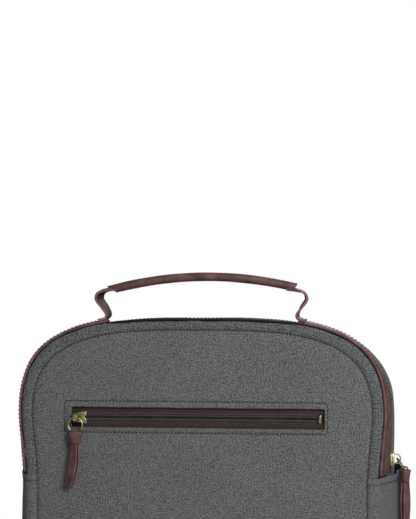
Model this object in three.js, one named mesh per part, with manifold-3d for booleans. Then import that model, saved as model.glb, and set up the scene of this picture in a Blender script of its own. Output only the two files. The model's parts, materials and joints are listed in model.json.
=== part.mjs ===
// Travel backpack. Millimetres, +Z up, the front faces -Y, and the bag stands on the plane z = 0.
import * as THREE from 'three';
import Module from 'manifold-3d';
import { mergeVertices } from 'three/addons/utils/BufferGeometryUtils.js';

const wasm = await Module();
wasm.setup();

// Driving dimensions of the bag.
const HEIGHT = 380;
const HALF_WIDTH = 150;
const FRONT = -60;
const BACK = 60;
const CROWN = 95;
const CROWN_POWER = 3.3;
const BASE_RADIUS = 45;

// Thicknesses, and the gap left between touching pieces.
const CANVAS = 1.6;
const LEATHER = 2.2;
const GAP = 0.3;

// Heights that the pieces are cut at.
const FLAP_FOLD = HEIGHT - 140;
const POCKET_HEM = HEIGHT - 129;
const BASE_TOP = 62;
const POCKET_FLOOR = 64;

// The main zip's plane, and how its two halves are stacked in depth.
const ZIP_Y = FRONT + 30.3;
const TEETH = 2.9;
const TAPE = 6;

// The front pocket's window and the stitched frame round it.
const WINDOW = { x: -2.5, z: HEIGHT - 82.5, width: 202, height: 16.3 };
const FRAME = { x: -4.6, z: HEIGHT - 81.8, width: 213, height: 26 };

// Zip sliders, rings and pulls.
const SLIDER = { length: 11.5, width: 9.6, plate: 3 };
const RING_RADIUS = 5.8;
const RING_WIRE = 0.9;
const HINGE_OUT = 5.9;
const KNOT_RADIUS = 5;
const MAIN_SLIDER_Z = HEIGHT - 116;

// The handle: strap width across the bag's depth, foot, and grip.
const HANDLE_Y = FRONT + 12;
const HANDLE_WIDTH = 22;
const HANDLE_FOLD = THREE.MathUtils.degToRad(35);
const GRIP_RADIUS = 3.9;
const GRIP_HALF = 77;

// The shoulder straps swing about the line from the yoke to the anchor tab.
const STRAP_TOP = new THREE.Vector3(48, 65, 352);
const STRAP_FOOT = new THREE.Vector3(124, 65, 22);
const WEBBING = 25;

// Colours, roughness and metalness of each material.
const finishes = {
  canvas: { color: 0x5f625f, roughness: 0.95, metalness: 0 },
  black_canvas: { color: 0x1b1c1d, roughness: 0.95, metalness: 0 },
  navy_canvas: { color: 0x151c24, roughness: 0.95, metalness: 0 },
  leather: { color: 0x6b4240, roughness: 0.6, metalness: 0 },
  lining: { color: 0x2d2a28, roughness: 0.9, metalness: 0 },
  tape: { color: 0x17130f, roughness: 0.9, metalness: 0 },
  brass: { color: 0x8f8753, roughness: 0.35, metalness: 1 },
  coil: { color: 0x141312, roughness: 0.5, metalness: 0 },
  webbing: { color: 0x1e1e1f, roughness: 0.85, metalness: 0 },
  foam: { color: 0x3a3a3a, roughness: 0.95, metalness: 0 },
  mesh_fabric: { color: 0x26282a, roughness: 0.95, metalness: 0 },
  plastic: { color: 0x111111, roughness: 0.45, metalness: 0 },
};

// Adds a named piece to a group.
function piece(parent, name, geometry, finish) {
  const mesh = new THREE.Mesh(geometry, new THREE.MeshStandardMaterial(finishes[finish]));
  mesh.name = name;
  parent.add(mesh);
  return mesh;
}

// Solids are joined and cut as manifolds.
function toManifold(geometry) {
  const bare = geometry.clone();
  bare.deleteAttribute('normal');
  bare.deleteAttribute('uv');
  const merged = mergeVertices(bare, 1e-4);
  const vertProperties = new Float32Array(merged.attributes.position.array);
  const triVerts = new Uint32Array(merged.index.array);
  return new wasm.Manifold(new wasm.Mesh({ numProp: 3, vertProperties, triVerts }));
}

function fromManifold(solid) {
  const mesh = solid.getMesh();
  const geometry = new THREE.BufferGeometry();
  geometry.setAttribute('position', new THREE.BufferAttribute(mesh.vertProperties, 3));
  geometry.setIndex(new THREE.BufferAttribute(mesh.triVerts, 1));
  return geometry;
}

function join(...geometries) {
  return fromManifold(geometries.map(toManifold).reduce((a, b) => a.add(b)));
}

function cut(geometry, ...tools) {
  return fromManifold(tools.reduce((solid, tool) => solid.subtract(toManifold(tool)), toManifold(geometry)));
}

function overlapOf(a, b) {
  return fromManifold(toManifold(a).intersect(toManifold(b)));
}

// A box between two corners.
function block(low, high) {
  const size = high.map((value, i) => value - low[i]);
  const box = new THREE.BoxGeometry(...size);
  box.translate(...low.map((value, i) => value + size[i] / 2));
  return box;
}

// An outline as a shape that runs anticlockwise, whichever way its points were given.
function toShape(points) {
  const corners = points.map(([x, z]) => new THREE.Vector2(x, z));
  if (THREE.ShapeUtils.isClockWise(corners)) corners.reverse();
  return new THREE.Shape(corners);
}

// An upright outline in X and Z, given its thickness from y0 to y1.
function slab(points, y0, y1, holes = []) {
  const shape = toShape(points);
  shape.holes = holes.map((hole) => new THREE.Path(toShape(hole).getPoints()));
  const solid = new THREE.ExtrudeGeometry(shape, { depth: y1 - y0, bevelEnabled: false });
  solid.rotateX(Math.PI / 2);
  solid.translate(0, y1, 0);
  return solid;
}

// A side outline in Y and Z, given its width along X about x = 0.
function sideSlab(points, width) {
  const solid = new THREE.ExtrudeGeometry(toShape(points), { depth: width, bevelEnabled: false });
  solid.rotateX(Math.PI / 2);
  solid.rotateZ(Math.PI / 2);
  solid.translate(-width / 2, 0, 0);
  return solid;
}

// A point of the rounded top, from t = 0 at the right side to t = pi at the left.
function crownPoint(inset, t) {
  const power = (value) => Math.sign(value) * Math.abs(value) ** (2 / CROWN_POWER);
  const x = (HALF_WIDTH - inset) * power(Math.cos(t));
  const z = HEIGHT - CROWN + (CROWN - inset) * power(Math.sin(t));
  return [x, z];
}

// The rounded top from left to right, and the rounded base from right to left.
function crownPoints(inset, steps = 30) {
  return Array.from({ length: steps + 1 }, (_, i) => crownPoint(inset, Math.PI * (1 - i / steps)));
}

function basePoints(inset, steps = 6) {
  const centre = HALF_WIDTH - BASE_RADIUS;
  const radius = BASE_RADIUS - inset;
  const corner = (side, i) => {
    const t = (Math.PI / 2) * (i / steps);
    return [side * (centre + radius * Math.cos(t)), BASE_RADIUS - radius * Math.sin(t)];
  };
  const right = Array.from({ length: steps + 1 }, (_, i) => corner(1, i));
  const left = Array.from({ length: steps + 1 }, (_, i) => corner(-1, steps - i));
  return [...right, ...left];
}

// The outline above or below a height: its ends are on the bag's straight sides.
function overTop(inset, from) {
  return [[inset - HALF_WIDTH, from], ...crownPoints(inset), [HALF_WIDTH - inset, from]];
}

function underBase(inset, from) {
  return [[HALF_WIDTH - inset, from], ...basePoints(inset), [inset - HALF_WIDTH, from]];
}

function wholeOutline(inset) {
  return [...crownPoints(inset), ...basePoints(inset)];
}

// A strip of the gusset that goes over the top of the bag.
function topStrip(inset, thickness, y0, y1, from) {
  return slab([...overTop(inset, from), ...overTop(inset + thickness, from).reverse()], y0, y1);
}

// A flat ribbon along a path in X and Z, its width lying across the depth of the bag.
function ribbonOutline(path, thickness, steps) {
  const curve = new THREE.CatmullRomCurve3(path.map(([x, z]) => new THREE.Vector3(x, z, 0)));
  const places = Array.from({ length: steps + 1 }, (_, i) => i / steps);
  const offset = (u, side) => {
    const point = curve.getPointAt(u);
    const along = curve.getTangentAt(u);
    return [point.x - (side * along.y * thickness) / 2, point.y + (side * along.x * thickness) / 2];
  };
  return [...places.map((u) => offset(u, -1)), ...places.reverse().map((u) => offset(u, 1))];
}

// ---- The fixed half of the bag: base, sides, back and what is inside.
function makeBag(bag) {
  const lower = underBase(3, FLAP_FOLD - GAP / 2);
  piece(bag, 'front_panel_lower', slab(lower, FRONT, FRONT + CANVAS), 'canvas');

  const baseOuter = underBase(0, BASE_TOP - GAP);
  const baseInner = underBase(LEATHER, BASE_TOP - GAP).reverse();
  piece(bag, 'base_panel', slab([...baseOuter, ...baseInner], FRONT + CANVAS + GAP, BACK - 2), 'leather');
  piece(bag, 'base_board', block([-100, FRONT + 6, 4.2], [100, BACK - 9, 6.7]), 'plastic');

  const rearStart = ZIP_Y + 2 * GAP + TEETH + TAPE + GAP;
  piece(bag, 'gusset_rear', topStrip(0, CANVAS, rearStart, BACK - 2, BASE_TOP), 'canvas');
  for (const [side, name] of [[-1, 'left'], [1, 'right']]) {
    const outer = side * HALF_WIDTH;
    const inner = side * (HALF_WIDTH - CANVAS);
    const low = [Math.min(outer, inner), FRONT + CANVAS + GAP, BASE_TOP];
    const high = [Math.max(outer, inner), rearStart - GAP, POCKET_HEM];
    piece(bag, `side_panel_${name}`, block(low, high), 'canvas');
  }
  const teethStart = ZIP_Y + GAP;
  const zipFoot = POCKET_HEM + GAP;
  piece(bag, 'main_teeth_rear', topStrip(0, 3, teethStart, teethStart + TEETH, zipFoot), 'brass');
  const tapeStart = teethStart + TEETH + GAP;
  piece(bag, 'main_tape_rear', topStrip(0.4, 1, tapeStart, rearStart - GAP, zipFoot), 'tape');

  const liningHole = [wholeOutline(3.7)];
  piece(bag, 'main_lining', slab(wholeOutline(2.7), rearStart, BACK - 3, liningHole), 'lining');
  piece(bag, 'back_foam', slab(wholeOutline(7), BACK - 6, BACK - 2.2), 'foam');
  piece(bag, 'back_panel', slab(wholeOutline(0), BACK - 1.7, BACK), 'canvas');
  piece(bag, 'back_pad', slab(wholeOutline(34), BACK + GAP, BACK + 7.5), 'mesh_fabric');

  const sleeve = block([-125, 30, 14], [125, 53.5, 262]);
  piece(bag, 'laptop_sleeve', cut(sleeve, block([-122, 33.5, 17], [122, 52, 270])), 'lining');
}

// ---- Side pockets: a canvas tray in front and a dark strip behind, both open at the top.
function makeSidePockets(bag) {
  const near = HALF_WIDTH + 0.6;
  const far = HALF_WIDTH + 7;
  const split = 8;
  const rim = POCKET_HEM;
  const trays = [
    ['side_pocket', 'canvas', [FRONT + 4, split], [FRONT + 4 + CANVAS, split + 1]],
    ['pocket_gusset', 'navy_canvas', [split + GAP, BACK - 4], [split, BACK - 4 - CANVAS]],
  ];
  for (const [side, label] of [[-1, 'left'], [1, 'right']]) {
    for (const [name, finish, outside, inside] of trays) {
      const shell = block([near, outside[0], POCKET_FLOOR], [far, outside[1], rim]);
      const room = block([near - 1, inside[0], POCKET_FLOOR + CANVAS], [far - CANVAS, inside[1], rim + 1]);
      const tray = cut(shell, room);
      if (side < 0) tray.scale(-1, 1, 1);
      piece(bag, `${name}_${label}`, side < 0 ? flipped(tray) : tray, finish);
    }
  }
}

// Turns a mirrored mesh's faces outwards again.
function flipped(geometry) {
  const index = geometry.index.array;
  for (let i = 0; i < index.length; i += 3) [index[i], index[i + 1]] = [index[i + 1], index[i]];
  return geometry;
}

// ---- Back of the bag: yoke, hang loop and anchor tabs.
function makeHarness(bag) {
  const yoke = [[-78, 348], [78, 348], [72, 360], [-72, 360]];
  piece(bag, 'shoulder_yoke', slab(yoke, BACK + GAP, BACK + 2.8), 'leather');

  const loopZ = HEIGHT - 16;
  const arc = (radius) => Array.from({ length: 13 }, (_, i) => {
    const t = Math.PI * (1 - i / 12);
    return [radius * Math.cos(t), loopZ + radius * Math.sin(t)];
  });
  const loop = [[-13, 350], ...arc(13), [13, 350], [8, 350], ...arc(8).reverse(), [-8, 350]];
  piece(bag, 'hang_loop', slab(loop, BACK + 3.1, BACK + 5.1), 'webbing');

  for (const [side, label] of [[-1, 'left'], [1, 'right']]) {
    const { x, z } = STRAP_FOOT;
    const tab = [[x - 12, z - 12], [x + 8, z - 6], [x + 9, z + 12], [x - 11, z + 12]];
    const outline = tab.map(([px, pz]) => [side * px, pz]);
    piece(bag, `anchor_tab_${label}`, slab(outline, BACK + GAP, BACK + 3), 'leather');
  }
}

// ---- One shoulder strap, drawn about its swing line with z = 0 at the yoke.
function makeStrap(parent, side, label) {
  const strap = new THREE.Group();
  const top = STRAP_TOP.clone();
  const foot = STRAP_FOOT.clone();
  top.x *= side;
  foot.x *= side;
  strap.position.copy(top);
  strap.quaternion.setFromUnitVectors(new THREE.Vector3(0, 0, -1), foot.sub(top).normalize());
  parent.add(strap);

  const path = [[14, -4], [26, -22], [36, -60], [38, -110], [33, -160], [24, -205]];
  const profile = sideSlab(ribbonOutline(path, 11, 20), 80);
  const widths = [[-16, 4], [16, 4], [28, -45], [28, -140], [20, -212], [-20, -212], [-28, -140], [-28, -45]];
  const contour = slab(widths, 0, 60);
  piece(strap, `shoulder_pad_${label}`, overlapOf(profile, contour), 'foam');

  const frame = [[-18, -13], [18, -13], [18, 13], [-18, 13]];
  const slot = (z) => [[-13.5, z - 2.5], [13.5, z - 2.5], [13.5, z + 2.5], [-13.5, z + 2.5]];
  const buckle = slab(frame, -2.5, 2.5, [slot(-6), slot(6)]);
  buckle.rotateX(THREE.MathUtils.degToRad(-14));
  buckle.translate(0, 19, -222);
  piece(strap, `strap_buckle_${label}`, buckle, 'plastic');

  const lower = ribbonOutline([[15, -237.5], [13, -262], [12, -290], [9, -322]], 2, 10);
  piece(strap, `strap_webbing_${label}`, sideSlab(lower, WEBBING), 'webbing');
  const free = ribbonOutline([[20, -237.5], [23, -262], [24, -292]], 2, 6);
  piece(strap, `webbing_tail_${label}`, sideSlab(free, WEBBING), 'webbing');
}

// ---- The flap: upper front panel, front strip, its half of the zip, and the leather strips.
function makeFlap(flap) {
  const rectangle = ({ x, z, width, height }) => [
    [x - width / 2, z - height / 2],
    [x + width / 2, z - height / 2],
    [x + width / 2, z + height / 2],
    [x - width / 2, z + height / 2],
  ];
  const window = rectangle(WINDOW);
  const upper = overTop(3, FLAP_FOLD + GAP / 2);
  piece(flap, 'front_panel_upper', slab(upper, FRONT, FRONT + CANVAS, [window]), 'canvas');

  const foot = POCKET_HEM + GAP;
  const teethEnd = ZIP_Y - GAP;
  const tapeEnd = teethEnd - TEETH - GAP;
  const stripEnd = tapeEnd - TAPE + 0.3;
  piece(flap, 'front_strip', topStrip(0, CANVAS, FRONT + CANVAS + GAP, stripEnd, foot), 'black_canvas');
  piece(flap, 'main_tape_front', topStrip(0.4, 1, stripEnd + GAP, tapeEnd, foot), 'tape');
  piece(flap, 'main_teeth_front', topStrip(0, 3, teethEnd - TEETH, teethEnd, foot), 'brass');

  const reach = THREE.MathUtils.degToRad(70);
  for (const [side, label] of [[-1, 'left'], [1, 'right']]) {
    const path = (inset) => {
      const corner = Array.from({ length: 17 }, (_, i) => crownPoint(inset, (reach * i) / 16));
      return [[HALF_WIDTH - inset, foot + 1], ...corner].map(([x, z]) => [side * x, z]);
    };
    const outline = [...path(-GAP - LEATHER), ...path(-GAP).reverse()];
    const strip = slab(outline, FRONT + 2, FRONT + 2 + HANDLE_WIDTH);
    piece(flap, `leather_strip_${label}`, strip, 'leather');
  }

  piece(flap, 'pocket_frame', slab(rectangle(FRAME), FRONT - 1.5, FRONT - GAP, [window]), 'canvas');
  const tapeHalf = (WINDOW.height / 2 + 4 - 3.3) / 2;
  for (const [side, label] of [[-1, 'lower'], [1, 'upper']]) {
    const z = WINDOW.z + side * (3.3 + tapeHalf);
    const low = [WINDOW.x - 105, FRONT + CANVAS + GAP, z - tapeHalf];
    const high = [WINDOW.x + 105, FRONT + CANVAS + GAP + 0.9, z + tapeHalf];
    piece(flap, `pocket_tape_${label}`, block(low, high), 'tape');
  }
  const coilRight = WINDOW.x + WINDOW.width / 2;
  const coilLow = [WINDOW.x - WINDOW.width / 2 + 1, FRONT + 0.4, WINDOW.z - 3];
  piece(flap, 'pocket_coil', block(coilLow, [coilRight - 4.3, FRONT + 3, WINDOW.z + 3]), 'coil');
  const stopLow = [coilRight - 4, FRONT - 0.6, WINDOW.z - 3.2];
  piece(flap, 'pocket_zip_stop', block(stopLow, [coilRight - 1.5, FRONT + 3.2, WINDOW.z + 3.2]), 'brass');

  const bag = block([WINDOW.x - 107, FRONT + 3.2, 205], [WINDOW.x + 107, FRONT + 13, WINDOW.z + 15]);
  const room = block([WINDOW.x - 106, FRONT + 4.2, 206], [WINDOW.x + 106, FRONT + 12, WINDOW.z + 14]);
  const mouthLow = [WINDOW.x - 101, FRONT + 2, WINDOW.z - 7.5];
  const mouth = block(mouthLow, [WINDOW.x + 101, FRONT + 5, WINDOW.z + 7.5]);
  piece(flap, 'front_pocket_bag', cut(bag, room, mouth), 'lining');
}

// ---- The handle: two leather straps that rise from the strips, a rolled grip and its core.
function makeHandle(handle) {
  const foot = HEIGHT - 1;
  const rise = 40 * Math.tan(HANDLE_FOLD);
  const below = [[-40, -20], [40, -20], [40, rise], [0, 0], [-40, rise]];
  const clearance = sideSlab(below, 4 * GRIP_HALF);
  clearance.translate(0, HANDLE_Y, foot + 0.5);
  for (const [side, label] of [[-1, 'left'], [1, 'right']]) {
    const path = [[75, HEIGHT], [80, HEIGHT + 5], [86, HEIGHT + 11], [84, HEIGHT + 18], [GRIP_HALF + 1.5, HEIGHT + 20.8]];
    const outline = ribbonOutline(path.map(([x, z]) => [side * x, z]), LEATHER, 14);
    const strap = slab(outline, HANDLE_Y - HANDLE_WIDTH / 2, HANDLE_Y + HANDLE_WIDTH / 2);
    piece(handle, `handle_strap_${label}`, cut(strap, clearance), 'leather');
  }

  const arc = [-GRIP_HALF, -52, -26, 0, 26, 52, GRIP_HALF].map((x) => {
    const z = HEIGHT + 30.5 - 9.7 * (x / GRIP_HALF) ** 2;
    return new THREE.Vector3(x, HANDLE_Y, z);
  });
  const curve = new THREE.CatmullRomCurve3(arc);
  const along = { steps: 14, bevelEnabled: false, extrudePath: curve };
  const ring = (radius) => new THREE.Shape().absarc(0, 0, radius, 0, 2 * Math.PI);
  const wall = ring(GRIP_RADIUS);
  wall.holes = [new THREE.Path(ring(GRIP_RADIUS - 1.4).getPoints(3))];
  piece(handle, 'handle_grip', new THREE.ExtrudeGeometry(wall, { ...along, curveSegments: 6 }), 'leather');
  const core = new THREE.ExtrudeGeometry(ring(GRIP_RADIUS - 1.9), { ...along, curveSegments: 4 });
  piece(handle, 'handle_core', core, 'foam');
}

// ---- A zip slider with its ring and leather pull. It is drawn hanging along -Z, facing -Y,
// with the teeth's outer face at y = 0 and the slider's middle at z = 0.
function makeSlider(parent, names, place) {
  const group = new THREE.Group();
  group.position.set(...place.at);
  group.rotation.z = place.turn;
  parent.add(group);

  const alongX = place.across ? SLIDER.length : SLIDER.width;
  const alongZ = place.across ? SLIDER.width : SLIDER.length;
  const plateFace = -0.4 - SLIDER.plate;
  const plate = block([-alongX / 2, plateFace, -alongZ / 2], [alongX / 2, -0.4, alongZ / 2]);
  const bridgeOut = [[-3.6, plateFace + 0.1], [-2.4, -8.4], [2.4, -8.4], [3.6, plateFace + 0.1]];
  const bridge = sideSlab(bridgeOut.map(([z, y]) => [y, z]), 4);
  const hole = block([-5, -7.3, -1.7], [5, -4.4, 1.7]);
  const hinge = new THREE.Vector3(place.shift, -HINGE_OUT, 0);
  const loop = cut(bridge, hole).translate(place.shift, 0, 0);
  piece(group, names.slider, join(plate, loop), 'brass');

  // The ring leans out by the tilt, and hangs from the top of its wire.
  const hang = new THREE.Group();
  hang.position.copy(hinge);
  hang.rotation.x = -place.tilt;
  group.add(hang);
  const ring = new THREE.TorusGeometry(RING_RADIUS, RING_WIRE, 6, 20);
  ring.rotateX(Math.PI / 2);
  ring.translate(0, 0, -RING_RADIUS);
  piece(hang, names.ring, ring, 'brass');

  // The knot is threaded on the bottom of the ring, with room to turn on it.
  const drop = 2 * RING_RADIUS;
  const knotHalf = 5;
  const profile = [[0, -knotHalf], [3.6, -knotHalf], [KNOT_RADIUS, -2.4], [KNOT_RADIUS, 2.4], [3.6, knotHalf], [0, knotHalf]];
  const knot = new THREE.LatheGeometry(profile.map(([r, z]) => new THREE.Vector2(r, z)), 10);
  knot.rotateX(Math.PI / 2);
  const tailShape = [[-3.2, -3], [3.2, -3], [4, -26], [3, -44], [-3, -44], [-4, -26]];
  const tail = slab(tailShape, -1.8, 1.8);
  let pull = join(knot, tail);
  for (const turn of [0, 15, 30]) {
    const room = new THREE.TorusGeometry(RING_RADIUS, RING_WIRE + 0.8, 6, 12);
    room.rotateX(Math.PI / 2);
    room.translate(0, 0, RING_RADIUS);
    room.rotateX(THREE.MathUtils.degToRad(turn) - place.tilt);
    pull = cut(pull, room);
  }
  const knotHinge = new THREE.Group();
  knotHinge.position.set(place.shift, -HINGE_OUT - drop * Math.sin(place.tilt), -drop * Math.cos(place.tilt));
  group.add(knotHinge);
  piece(knotHinge, names.pull, pull, 'leather');
}

function makeSliders(bag, flap) {
  const windowLeft = WINDOW.x - WINDOW.width / 2;
  makeSlider(flap, { slider: 'pocket_slider', ring: 'pocket_ring', pull: 'pocket_pull' }, {
    at: [windowLeft + SLIDER.length / 2, FRONT, WINDOW.z],
    turn: 0,
    across: true,
    shift: -3,
    tilt: THREE.MathUtils.degToRad(6),
  });
  makeSlider(bag, { slider: 'main_slider', ring: 'main_ring', pull: 'main_pull' }, {
    at: [HALF_WIDTH, ZIP_Y, MAIN_SLIDER_Z],
    turn: Math.PI / 2,
    across: false,
    shift: 0,
    tilt: THREE.MathUtils.degToRad(35),
  });
}

const backpack = new THREE.Group();
makeBag(backpack);
makeSidePockets(backpack);
makeHarness(backpack);
makeStrap(backpack, -1, 'left');
makeStrap(backpack, 1, 'right');
makeFlap(backpack);
makeHandle(backpack);
makeSliders(backpack, backpack);

export default backpack;
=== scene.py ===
# %% [markdown]
# # Canvas travel backpack
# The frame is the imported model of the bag: every size, place and joint comes from it.
# This notebook dresses that frame in cloth, leather and metal, one piece at a time.

# %% Load the frame
import json
import math

import bmesh
import bpy
from mathutils import Matrix, Vector, noise


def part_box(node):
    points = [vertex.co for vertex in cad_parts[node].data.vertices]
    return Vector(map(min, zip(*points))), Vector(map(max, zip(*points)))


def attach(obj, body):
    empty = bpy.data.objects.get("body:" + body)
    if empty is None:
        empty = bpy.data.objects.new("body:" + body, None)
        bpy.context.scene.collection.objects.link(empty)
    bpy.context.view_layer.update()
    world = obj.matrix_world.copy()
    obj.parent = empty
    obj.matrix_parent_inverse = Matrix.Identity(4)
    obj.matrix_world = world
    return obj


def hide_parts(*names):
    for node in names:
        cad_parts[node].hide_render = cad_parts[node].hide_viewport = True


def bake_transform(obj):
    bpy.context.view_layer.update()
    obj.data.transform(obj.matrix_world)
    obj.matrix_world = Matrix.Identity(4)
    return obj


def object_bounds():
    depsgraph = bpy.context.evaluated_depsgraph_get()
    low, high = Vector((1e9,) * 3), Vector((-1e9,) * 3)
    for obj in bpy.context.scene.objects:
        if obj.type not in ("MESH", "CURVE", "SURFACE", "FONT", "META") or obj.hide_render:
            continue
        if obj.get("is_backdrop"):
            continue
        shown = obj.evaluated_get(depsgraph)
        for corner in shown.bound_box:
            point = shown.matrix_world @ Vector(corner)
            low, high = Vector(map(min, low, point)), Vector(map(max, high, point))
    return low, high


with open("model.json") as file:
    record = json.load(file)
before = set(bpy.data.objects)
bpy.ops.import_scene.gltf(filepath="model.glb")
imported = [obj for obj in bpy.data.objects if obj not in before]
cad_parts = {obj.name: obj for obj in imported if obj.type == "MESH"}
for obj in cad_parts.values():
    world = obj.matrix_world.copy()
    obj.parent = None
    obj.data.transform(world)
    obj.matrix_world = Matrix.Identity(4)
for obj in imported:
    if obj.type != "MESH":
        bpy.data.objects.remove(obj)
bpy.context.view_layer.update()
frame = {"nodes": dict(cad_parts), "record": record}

MM = 0.001

# %% [markdown]
# ## Driving places
# The bag's outline is a rounded crown on straight sides with rounded bottom corners.
# The same formula draws every panel and strip, so it is written once, from the frame's boxes.

# %% Places read from the frame
panel_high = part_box("back_panel")[1]
HALF_WIDTH = panel_high.x
HEIGHT = panel_high.z
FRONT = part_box("front_panel_lower")[0].y
BACK = panel_high.y
CROWN = 95 * MM
CROWN_POWER = 3.3
BASE_RADIUS = 45 * MM
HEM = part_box("side_pocket_right")[1].z
SIDES = ((-1, "left"), (1, "right"))
joint = {j["name"]: j for j in frame["record"]["behaviour"]["joints"]}
print(f"bag {HALF_WIDTH * 2:.3f} wide, {HEIGHT:.3f} high, front at {FRONT:.3f}, back at {BACK:.3f}")


# %% The outline and paths along it
def crown_point(inset, turn):
    """A point of the rounded top, as X and Z, from turn 0 at the right to pi at the left."""
    def power(value):
        return math.copysign(abs(value) ** (2 / CROWN_POWER), value)
    x = (HALF_WIDTH - inset) * power(math.cos(turn))
    z = HEIGHT - CROWN + (CROWN - inset) * power(math.sin(turn))
    return Vector((x, 0, z))


def resample(points, count, closed=False):
    """The same path, with count points at even steps."""
    points = points + points[:1] if closed else points
    lengths = [0.0]
    for a, b in zip(points, points[1:]):
        lengths.append(lengths[-1] + (b - a).length)
    steps = count if closed else count - 1
    result = []
    k = 0
    for i in range(count):
        wanted = lengths[-1] * i / steps
        while k < len(points) - 2 and lengths[k + 1] < wanted:
            k += 1
        span = max(lengths[k + 1] - lengths[k], 1e-9)
        result.append(points[k].lerp(points[k + 1], (wanted - lengths[k]) / span))
    return result


def over_top(inset, low, count):
    """From the left side at height low, over the crown, to the right side."""
    side = HALF_WIDTH - inset
    crown = [crown_point(inset, math.pi * (1 - i / 160)) for i in range(161)]
    return resample([Vector((-side, 0, low)), *crown, Vector((side, 0, low))], count)


def base_corner(inset, side, turn):
    """A point of a bottom corner, from turn 0 at the side to pi / 2 underneath."""
    radius = BASE_RADIUS - inset
    centre = HALF_WIDTH - BASE_RADIUS
    return Vector((side * (centre + radius * math.cos(turn)), 0, BASE_RADIUS - radius * math.sin(turn)))


def under_base(inset, high, count):
    """From the left side at height high, round the base, to the right side."""
    turns = [math.pi / 2 * i / 12 for i in range(13)]
    left = [base_corner(inset, -1, t) for t in turns]
    right = [base_corner(inset, 1, t) for t in reversed(turns)]
    side = HALF_WIDTH - inset
    return resample([Vector((-side, 0, high)), *left, *right, Vector((side, 0, high))], count)


def whole_outline(inset, count):
    """The closed outline, clockwise from the middle of the left side."""
    middle = HEIGHT / 2
    top = over_top(inset, middle, 400)
    base = under_base(inset, middle, 400)
    return resample(top + base[-2:0:-1], count, closed=True)


# %% [markdown]
# ## Building helpers
# Cloth and straps are lofts: one row of points is extruded again and again, and each new row
# is moved to its place. A UV map in metres is laid along the rows, so a weave keeps its real
# scale and follows the cloth round corners.

# %% Loft and piece helpers
def loft(rows, closed=False):
    """A bmesh skin through rows of points, with a UV map in metres along and across them."""
    bm = bmesh.new()
    place = bm.verts.layers.int.new("place")
    row_of = bm.verts.layers.int.new("row")
    verts = [bm.verts.new(p) for p in rows[0]]
    for i, vert in enumerate(verts):
        vert[place] = i
    pairs = list(zip(verts, verts[1:]))
    if closed:
        pairs.append((verts[-1], verts[0]))
    edges = [bm.edges.new(pair) for pair in pairs]
    for number, row in enumerate(rows[1:], 1):
        made = bmesh.ops.extrude_edge_only(bm, edges=edges)["geom"]
        fresh = {v for v in made if isinstance(v, bmesh.types.BMVert)}
        for vert in fresh:
            vert.co = row[vert[place]]
            vert[row_of] = number
        edges = [e for e in made if isinstance(e, bmesh.types.BMEdge) and set(e.verts) <= fresh]
    middle = rows[len(rows) // 2]
    along = [0.0]
    for a, b in zip(middle, middle[1:] + middle[:1]):
        along.append(along[-1] + (b - a).length)
    across = [0.0]
    half = len(middle) // 2
    for a, b in zip(rows, rows[1:]):
        across.append(across[-1] + (b[half] - a[half]).length)
    weave = bm.loops.layers.uv.new("weave")
    last = len(middle) - 1
    for face in bm.faces:
        wraps = closed and {0, last} <= {v[place] for v in face.verts}
        for corner in face.loops:
            i = corner.vert[place]
            u = along[-1] if wraps and i == 0 else along[i]
            corner[weave].uv = (u, across[corner.vert[row_of]])
    bmesh.ops.recalc_face_normals(bm, faces=bm.faces)
    return bm


def flat_uv(bm, first, second):
    """Lays the weave map flat, reading two of the axes 0, 1 and 2."""
    weave = bm.loops.layers.uv.get("weave") or bm.loops.layers.uv.new("weave")
    for face in bm.faces:
        for corner in face.loops:
            corner[weave].uv = (corner.vert.co[first], corner.vert.co[second])


def face_towards(bm, direction):
    """Turns an open skin so that most of it faces a direction."""
    if sum(f.normal.dot(Vector(direction)) * f.calc_area() for f in bm.faces) < 0:
        bmesh.ops.reverse_faces(bm, faces=bm.faces)


def add_piece(name, bm, materials, body, replaces=()):
    """Turns a bmesh into a finished object that rides on a body."""
    mesh = bpy.data.meshes.new(name)
    bm.to_mesh(mesh)
    bm.free()
    obj = bpy.data.objects.new(name, mesh)
    bpy.context.collection.objects.link(obj)
    for material in materials if isinstance(materials, list) else [materials]:
        mesh.materials.append(material)
    mesh.shade_smooth()
    if body:
        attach(obj, body)
    if replaces:
        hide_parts(*replaces)
    return obj


def thicken(obj, thickness, rim=0, bevel=0.0, subdivide=0, offset=-1):
    """Gives a skin a wall, softens its edges, and smooths it."""
    wall = obj.modifiers.new("wall", "SOLIDIFY")
    wall.thickness = thickness
    wall.offset = offset
    wall.use_even_offset = False
    wall.material_offset_rim = rim
    if bevel:
        soft = obj.modifiers.new("soft_edges", "BEVEL")
        soft.width = bevel
        soft.segments = 2
        soft.limit_method = "ANGLE"
        soft.angle_limit = math.radians(50)
    if subdivide:
        smooth(obj, subdivide)
    return obj


def smooth(obj, levels):
    """Adds subdivision, the same in the viewport and the render."""
    modifier = obj.modifiers.new("smooth", "SUBSURF")
    modifier.levels = levels
    modifier.render_levels = levels
    return obj


def join_meshes(parts):
    """One bmesh from several."""
    whole = bmesh.new()
    for part in parts:
        mesh = bpy.data.meshes.new("part")
        part.to_mesh(mesh)
        part.free()
        whole.from_mesh(mesh)
        bpy.data.meshes.remove(mesh)
    return whole


def block(size, centre=(0, 0, 0), bevel=0.0, segments=2):
    """A box with softened edges."""
    bm = bmesh.new()
    bmesh.ops.create_cube(bm, size=1)
    bmesh.ops.scale(bm, vec=size, verts=bm.verts)
    if bevel:
        bmesh.ops.bevel(bm, geom=bm.edges[:], offset=bevel, affect="EDGES",
                        segments=segments, profile=0.5, material=-1)
    bmesh.ops.translate(bm, vec=centre, verts=bm.verts)
    return bm


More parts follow.
